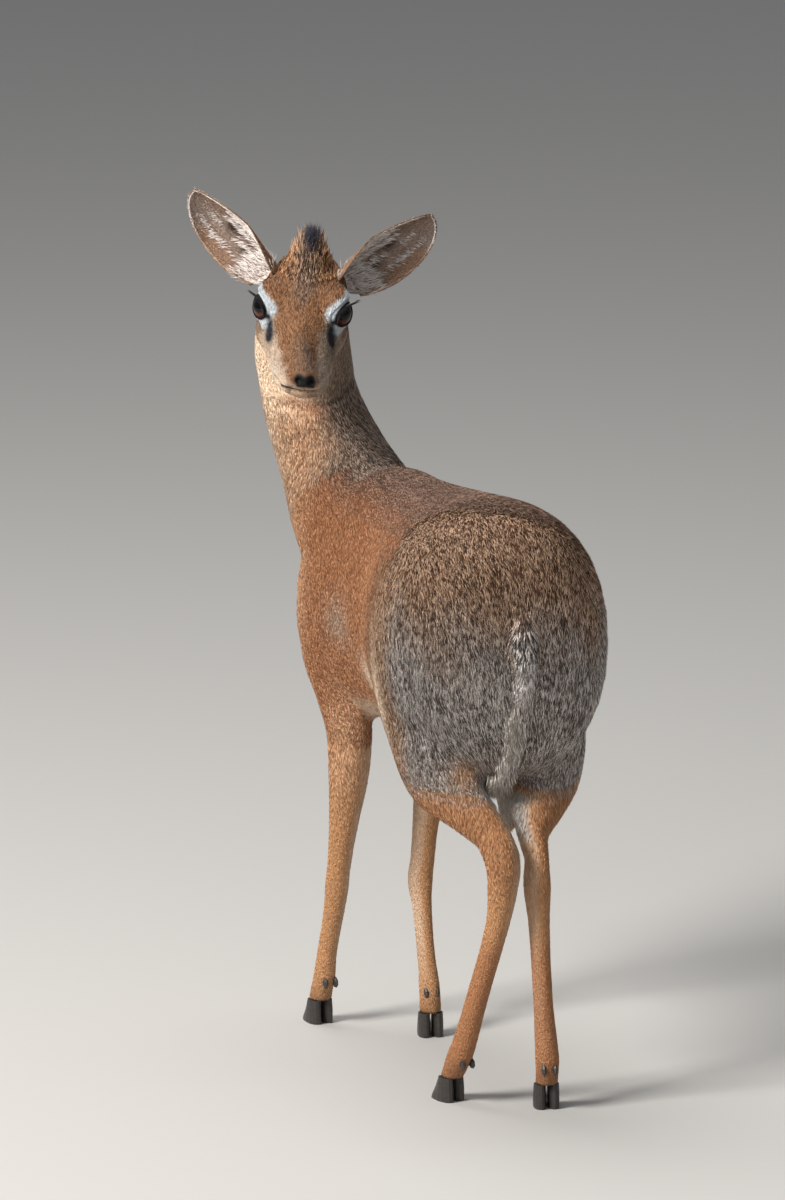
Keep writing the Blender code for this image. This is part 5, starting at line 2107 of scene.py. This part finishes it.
@dataclass
class LidRims:
    """The smooth black edge of the lids of both eyes."""

    columns: int = 72
    sides: int = 8
    thick: float = 0.00085

    def shell(self) -> Shell:
        """Both rims as closed rings that follow the eyeball.

        Returns:
            One mesh of both.
        """
        rims = []
        turns = np.arange(self.columns) * math.tau / self.columns
        around = np.arange(self.sides) * math.tau / self.sides
        for side in SIDES.values():
            x = EYE.half_width * np.cos(turns) * 1.02
            y = EYE.half_height * np.sin(turns) * (1.0 - 0.10 * np.cos(turns) ** 2)
            z = np.sqrt(np.maximum((EYE.radius + 0.0006) ** 2 - x * x - y * y, 1e-8))
            middle = np.stack([x, y, z], axis=1)
            out = unit(middle)
            along = unit(np.roll(middle, -1, axis=0) - np.roll(middle, 1, axis=0))
            wide = unit(np.cross(along, out))
            size = self.thick * (0.72 + 0.6 * smooth(0.0, 1.0, np.sin(turns)))
            over, up = 1.25 * np.cos(around)[None, :, None], 0.8 * np.sin(around)[None, :, None]
            ring = middle[:, None] + size[:, None, None] * (over * wide[:, None] + up * out[:, None])
            ring = EYE.outwards(ring.reshape(-1, 3), side)
            index = np.arange(self.columns * self.sides).reshape(self.columns, self.sides)
            a, b = index, np.roll(index, -1, axis=1)
            c, d = np.roll(b, -1, axis=0), np.roll(index, -1, axis=0)
            some = np.stack([np.stack([a, b, c], -1), np.stack([a, c, d], -1)]).reshape(-1, 3)
            flat = ring[some]
            core = np.repeat(ring.reshape(self.columns, self.sides, 3).mean(axis=1), self.sides, axis=0)
            facing = np.cross(flat[:, 1] - flat[:, 0], flat[:, 2] - flat[:, 0])
            if np.sum(facing * (flat.mean(axis=1) - core[some[:, 0]])) < 0:
                some = some[:, ::-1]
            rims.append(Shell(ring, some))
        return joined(rims)


@dataclass
class Lashes:
    """The stiff black lashes of the upper lids, set by Geometry Nodes."""

    count: int = 70
    length: float = 0.0072
    thick: float = 0.00017
    seed: int = 71

    def roots(self) -> tuple[Array, Array]:
        """The places of the lashes and the way each one points.

        Returns:
            The places and the directions.
        """
        places, lines = [], []
        for side in SIDES.values():
            turns = np.linspace(math.radians(18), math.radians(162), self.count)
            x = EYE.half_width * np.cos(turns) * 1.05
            y = EYE.half_height * np.sin(turns) * 1.05
            z = np.sqrt(np.maximum((EYE.radius + 0.0010) ** 2 - x * x - y * y, 1e-8))
            line = np.stack(np.broadcast_arrays(np.cos(turns), 0.30 * np.sin(turns) - 0.08, 0.62), axis=1)
            places.append(EYE.outwards(np.stack([x, y, z], axis=1), side))
            lines.append(unit(line) @ EYE.axes(side).T)
        return np.concatenate(places), np.concatenate(lines)

    def tree(self, material: Material) -> NodeTree:
        """A tree that sets a thin cone on each point, along the point's own line.

        Args:
            material: the lashes' finish.

        Returns:
            The tree.
        """
        tree = bpy.data.node_groups.new("lash_cones", "GeometryNodeTree")
        face = tree.interface
        face.new_socket("Geometry", in_out="INPUT", socket_type="NodeSocketGeometry")
        for name, value in (("Length", self.length), ("Thickness", self.thick)):
            face.new_socket(name, in_out="INPUT", socket_type="NodeSocketFloat").default_value = value
        face.new_socket("Geometry", in_out="OUTPUT", socket_type="NodeSocketGeometry")
        given, made = node_of(tree, "NodeGroupInput"), node_of(tree, "NodeGroupOutput")
        dots = node_of(tree, "GeometryNodeMeshToPoints")
        cone = node_of(tree, "GeometryNodeMeshCone", {"Vertices": 5, "Radius Top": 0.00003})
        line = node_of(tree, "GeometryNodeInputNamedAttribute", {"Name": "line"}, data_type="FLOAT_VECTOR")
        turn = node_of(tree, "FunctionNodeAlignRotationToVector", axis="Z")
        span = {"Min": 0.7, "Max": 1.15, "Seed": self.seed}
        size = node_of(tree, "FunctionNodeRandomValue", span, data_type="FLOAT")
        each = node_of(tree, "GeometryNodeInstanceOnPoints")
        real = node_of(tree, "GeometryNodeRealizeInstances")
        finish = node_of(tree, "GeometryNodeSetMaterial", {"Material": material})
        wire(
            tree,
            (given, "Geometry", dots, "Mesh"),
            (given, "Length", cone, "Depth"),
            (given, "Thickness", cone, "Radius Bottom"),
            (dots, "Points", each, "Points"),
            (cone, "Mesh", each, "Instance"),
            (line, "Attribute", turn, "Vector"),
            (turn, "Rotation", each, "Rotation"),
            (size, "Value", each, "Scale"),
            (each, "Instances", real, "Geometry"),
            (real, "Geometry", finish, "Geometry"),
            (finish, "Geometry", made, "Geometry"),
        )
        return tree

    def built(self, material: Material) -> Object:
        """All lashes as one plain mesh.

        Args:
            material: their finish.

        Returns:
            The object.
        """
        places, lines = self.roots()
        mesh = bpy.data.meshes.new("lash_roots")
        mesh.from_pydata(places.tolist(), [], [])
        layer = mesh.attributes.new("line", "FLOAT_VECTOR", "POINT")
        layer.data.foreach_set("vector", lines.astype(np.float32).ravel())
        seeds = placed("lash_roots", mesh)
        step = seeds.modifiers.new("Lashes", "NODES")
        step.node_group = self.tree(material)
        for item in step.node_group.interface.items_tree:
            if item.in_out == "INPUT" and item.name == "Length":
                step[item.identifier] = self.length
        graph = bpy.context.evaluated_depsgraph_get()
        made = bpy.data.meshes.new_from_object(seeds.evaluated_get(graph))
        made.name = "lashes"
        obj = placed("lashes", made)
        drop(seeds)
        return obj


@dataclass(frozen=True)
class Lamp:
    """One soft square light: its place, its side in metres, its power in watts and its colour."""

    name: str
    place: Triple
    side: float
    power: float
    colour: Triple

    def built(self, target: Triple) -> None:
        """Sets the light.

        Args:
            target: the place that it looks at.
        """
        data = bpy.data.lights.new(self.name, "AREA")
        data.size = self.side
        data.energy = self.power
        data.color = self.colour
        obj = placed(self.name, data)
        obj.location = self.place
        way = Vector(target) - Vector(self.place)
        obj.rotation_euler = way.to_track_quat("-Z", "Y").to_euler()


@dataclass(frozen=True)
class Studio:
    """A pale floor, soft lights and the camera."""

    camera_place: Triple = (2.4471, 7.5093, 1.9480)
    camera_right: Triple = (-0.95106, 0.30902, 0.0)
    camera_up: Triple = (-0.06214, -0.19124, 0.97958)
    camera_back: Triple = (0.30271, 0.93163, 0.20108)
    lens: float = 348.0
    floor_half: float = 16.0
    target: Triple = (0.0, 0.0, 0.32)
    lamps: tuple[Lamp, ...] = (
        Lamp("key", (2.5, 0.9, 2.2), 1.1, 140.0, (1.0, 0.965, 0.92)),
        Lamp("fill", (0.9, 3.0, 1.2), 2.0, 6.0, (0.92, 0.96, 1.0)),
        Lamp("top", (0.2, -0.8, 2.8), 1.4, 34.0, (1.0, 0.98, 0.96)),
        Lamp("catch", (2.6, 3.3, 1.9), 0.26, 5.0, (1.0, 1.0, 1.0)),
    )

    def camera(self) -> None:
        """Sets the camera at the photograph's angle."""
        data = bpy.data.cameras.new("camera")
        data.lens = self.lens
        data.sensor_width = 36.0
        data.clip_end = 100.0
        obj = placed("camera", data)
        turn = Matrix((self.camera_right, self.camera_up, self.camera_back)).transposed().to_4x4()
        obj.matrix_world = Matrix.Translation(self.camera_place) @ turn
        bpy.context.scene.camera = obj

    def floor(self) -> None:
        """A wide pale floor."""
        mesh = bpy.data.meshes.new("floor")
        half = self.floor_half
        corners = [(-half, -half, 0), (half, -half, 0), (half, half, 0), (-half, half, 0)]
        mesh.from_pydata(corners, [], [(0, 1, 2, 3)])
        obj = placed("floor", mesh)
        material = bpy.data.materials.new("floor_paint")
        material.use_nodes = True
        shader = material.node_tree.nodes["Principled BSDF"]
        shader.inputs["Base Color"].default_value = (0.55, 0.54, 0.52, 1.0)
        shader.inputs["Roughness"].default_value = 0.85
        mesh.materials.append(material)

    def built(self) -> None:
        """Camera, floor, lights and the even light of the room."""
        self.camera()
        self.floor()
        for lamp in self.lamps:
            lamp.built(self.target)
        world = bpy.data.worlds.new("room")
        world.use_nodes = True
        back = world.node_tree.nodes["Background"]
        back.inputs["Color"].default_value = (0.86, 0.90, 0.95, 1.0)
        back.inputs["Strength"].default_value = 0.22
        bpy.context.scene.world = world
        bpy.context.scene.view_settings.view_transform = "Standard"


def report(obj: Object, slot: str, *nodes: str) -> None:
    """Lets a piece ride on the body, hides the solids it stands for, and logs it.

    Args:
        obj: the piece.
        slot: not used.
        *nodes: the solids that it replaces.
    """
    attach(obj, "root")
    if nodes:
        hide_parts(*nodes)
    log.info("%s: %d triangles", obj.name, sum(len(p.vertices) - 2 for p in obj.data.polygons))


def main() -> None:
    """Builds the animal and the studio."""
    body = Skin().built()
    ears = [Ears().leaf(name) for name in EARS]
    skin = joined([body] + ears)
    rims = LidRims().shell()
    shades = MARKINGS.shades(skin.points, skin.normals(), skin.part)
    # The skin under the hair is darkened: the dark undercoat, and painted shade in the gaps between tufts.
    long = np.isin(skin.part, ("torso", "neck"))
    dark = np.where(long, UNDERCOAT_AND_SHADE_LONG, UNDERCOAT_AND_SHADE_SHORT)[:, None]
    colours = (1 - dark) * shades[:, 1] + dark * shades[:, 0]
    whole = joined([Shell(skin.points, skin.faces), rims])
    colours = np.concatenate([colours, np.tile(linear(*LID.middle), (len(rims.points), 1))])
    skin_finish = CoatFinish("skin_coat", 0.66, 0.22, 0.5, 0.30, 1.0).material()
    obj = object_of("skin", whole, colours)
    obj.data.materials.append(skin_finish)
    report(obj, "body_coat", *BODY, *EARS)
    hair_finish = CoatFinish("hair_coat", 0.58, 0.30, 0.0, 0.12, 1.24).material()
    slots = {
        Region.HEAD: "face_coat",
        Region.FORELEGS: "leg_coat",
        Region.HINDLEGS: "leg_coat",
        Region.EARS: "ear",
        Region.RUMP_LEFT: "grey_hair",
        Region.RUMP_RIGHT: "grey_hair",
    }
    for patch in COAT:
        report(patch.built(skin, hair_finish), slots.get(patch.region, "body_coat"))
    report(EarFringe().built(hair_finish), "ear")
    report(CrestBrush().built(body, hair_finish), "crest_hair", "crest")
    report(TailHair().built(body, hair_finish), "grey_hair", "tail")
    report(VentHair().built(body, hair_finish), "grey_hair")
    eye_finish = EyeFinish().material()
    for side in SIDES:
        report(Eyeball(side).built(eye_finish), "eye", f"eye_{side}")
    report(Lashes().built(BristleFinish().material()), "crest_hair")
    horn = HornFinish().material()
    for name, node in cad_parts.items():
        if name.startswith(("hoof", "dewclaw")):
            node.data.materials.clear()
            node.data.materials.append(horn)
    Studio().built()


if __name__ == "__main__":
    main()
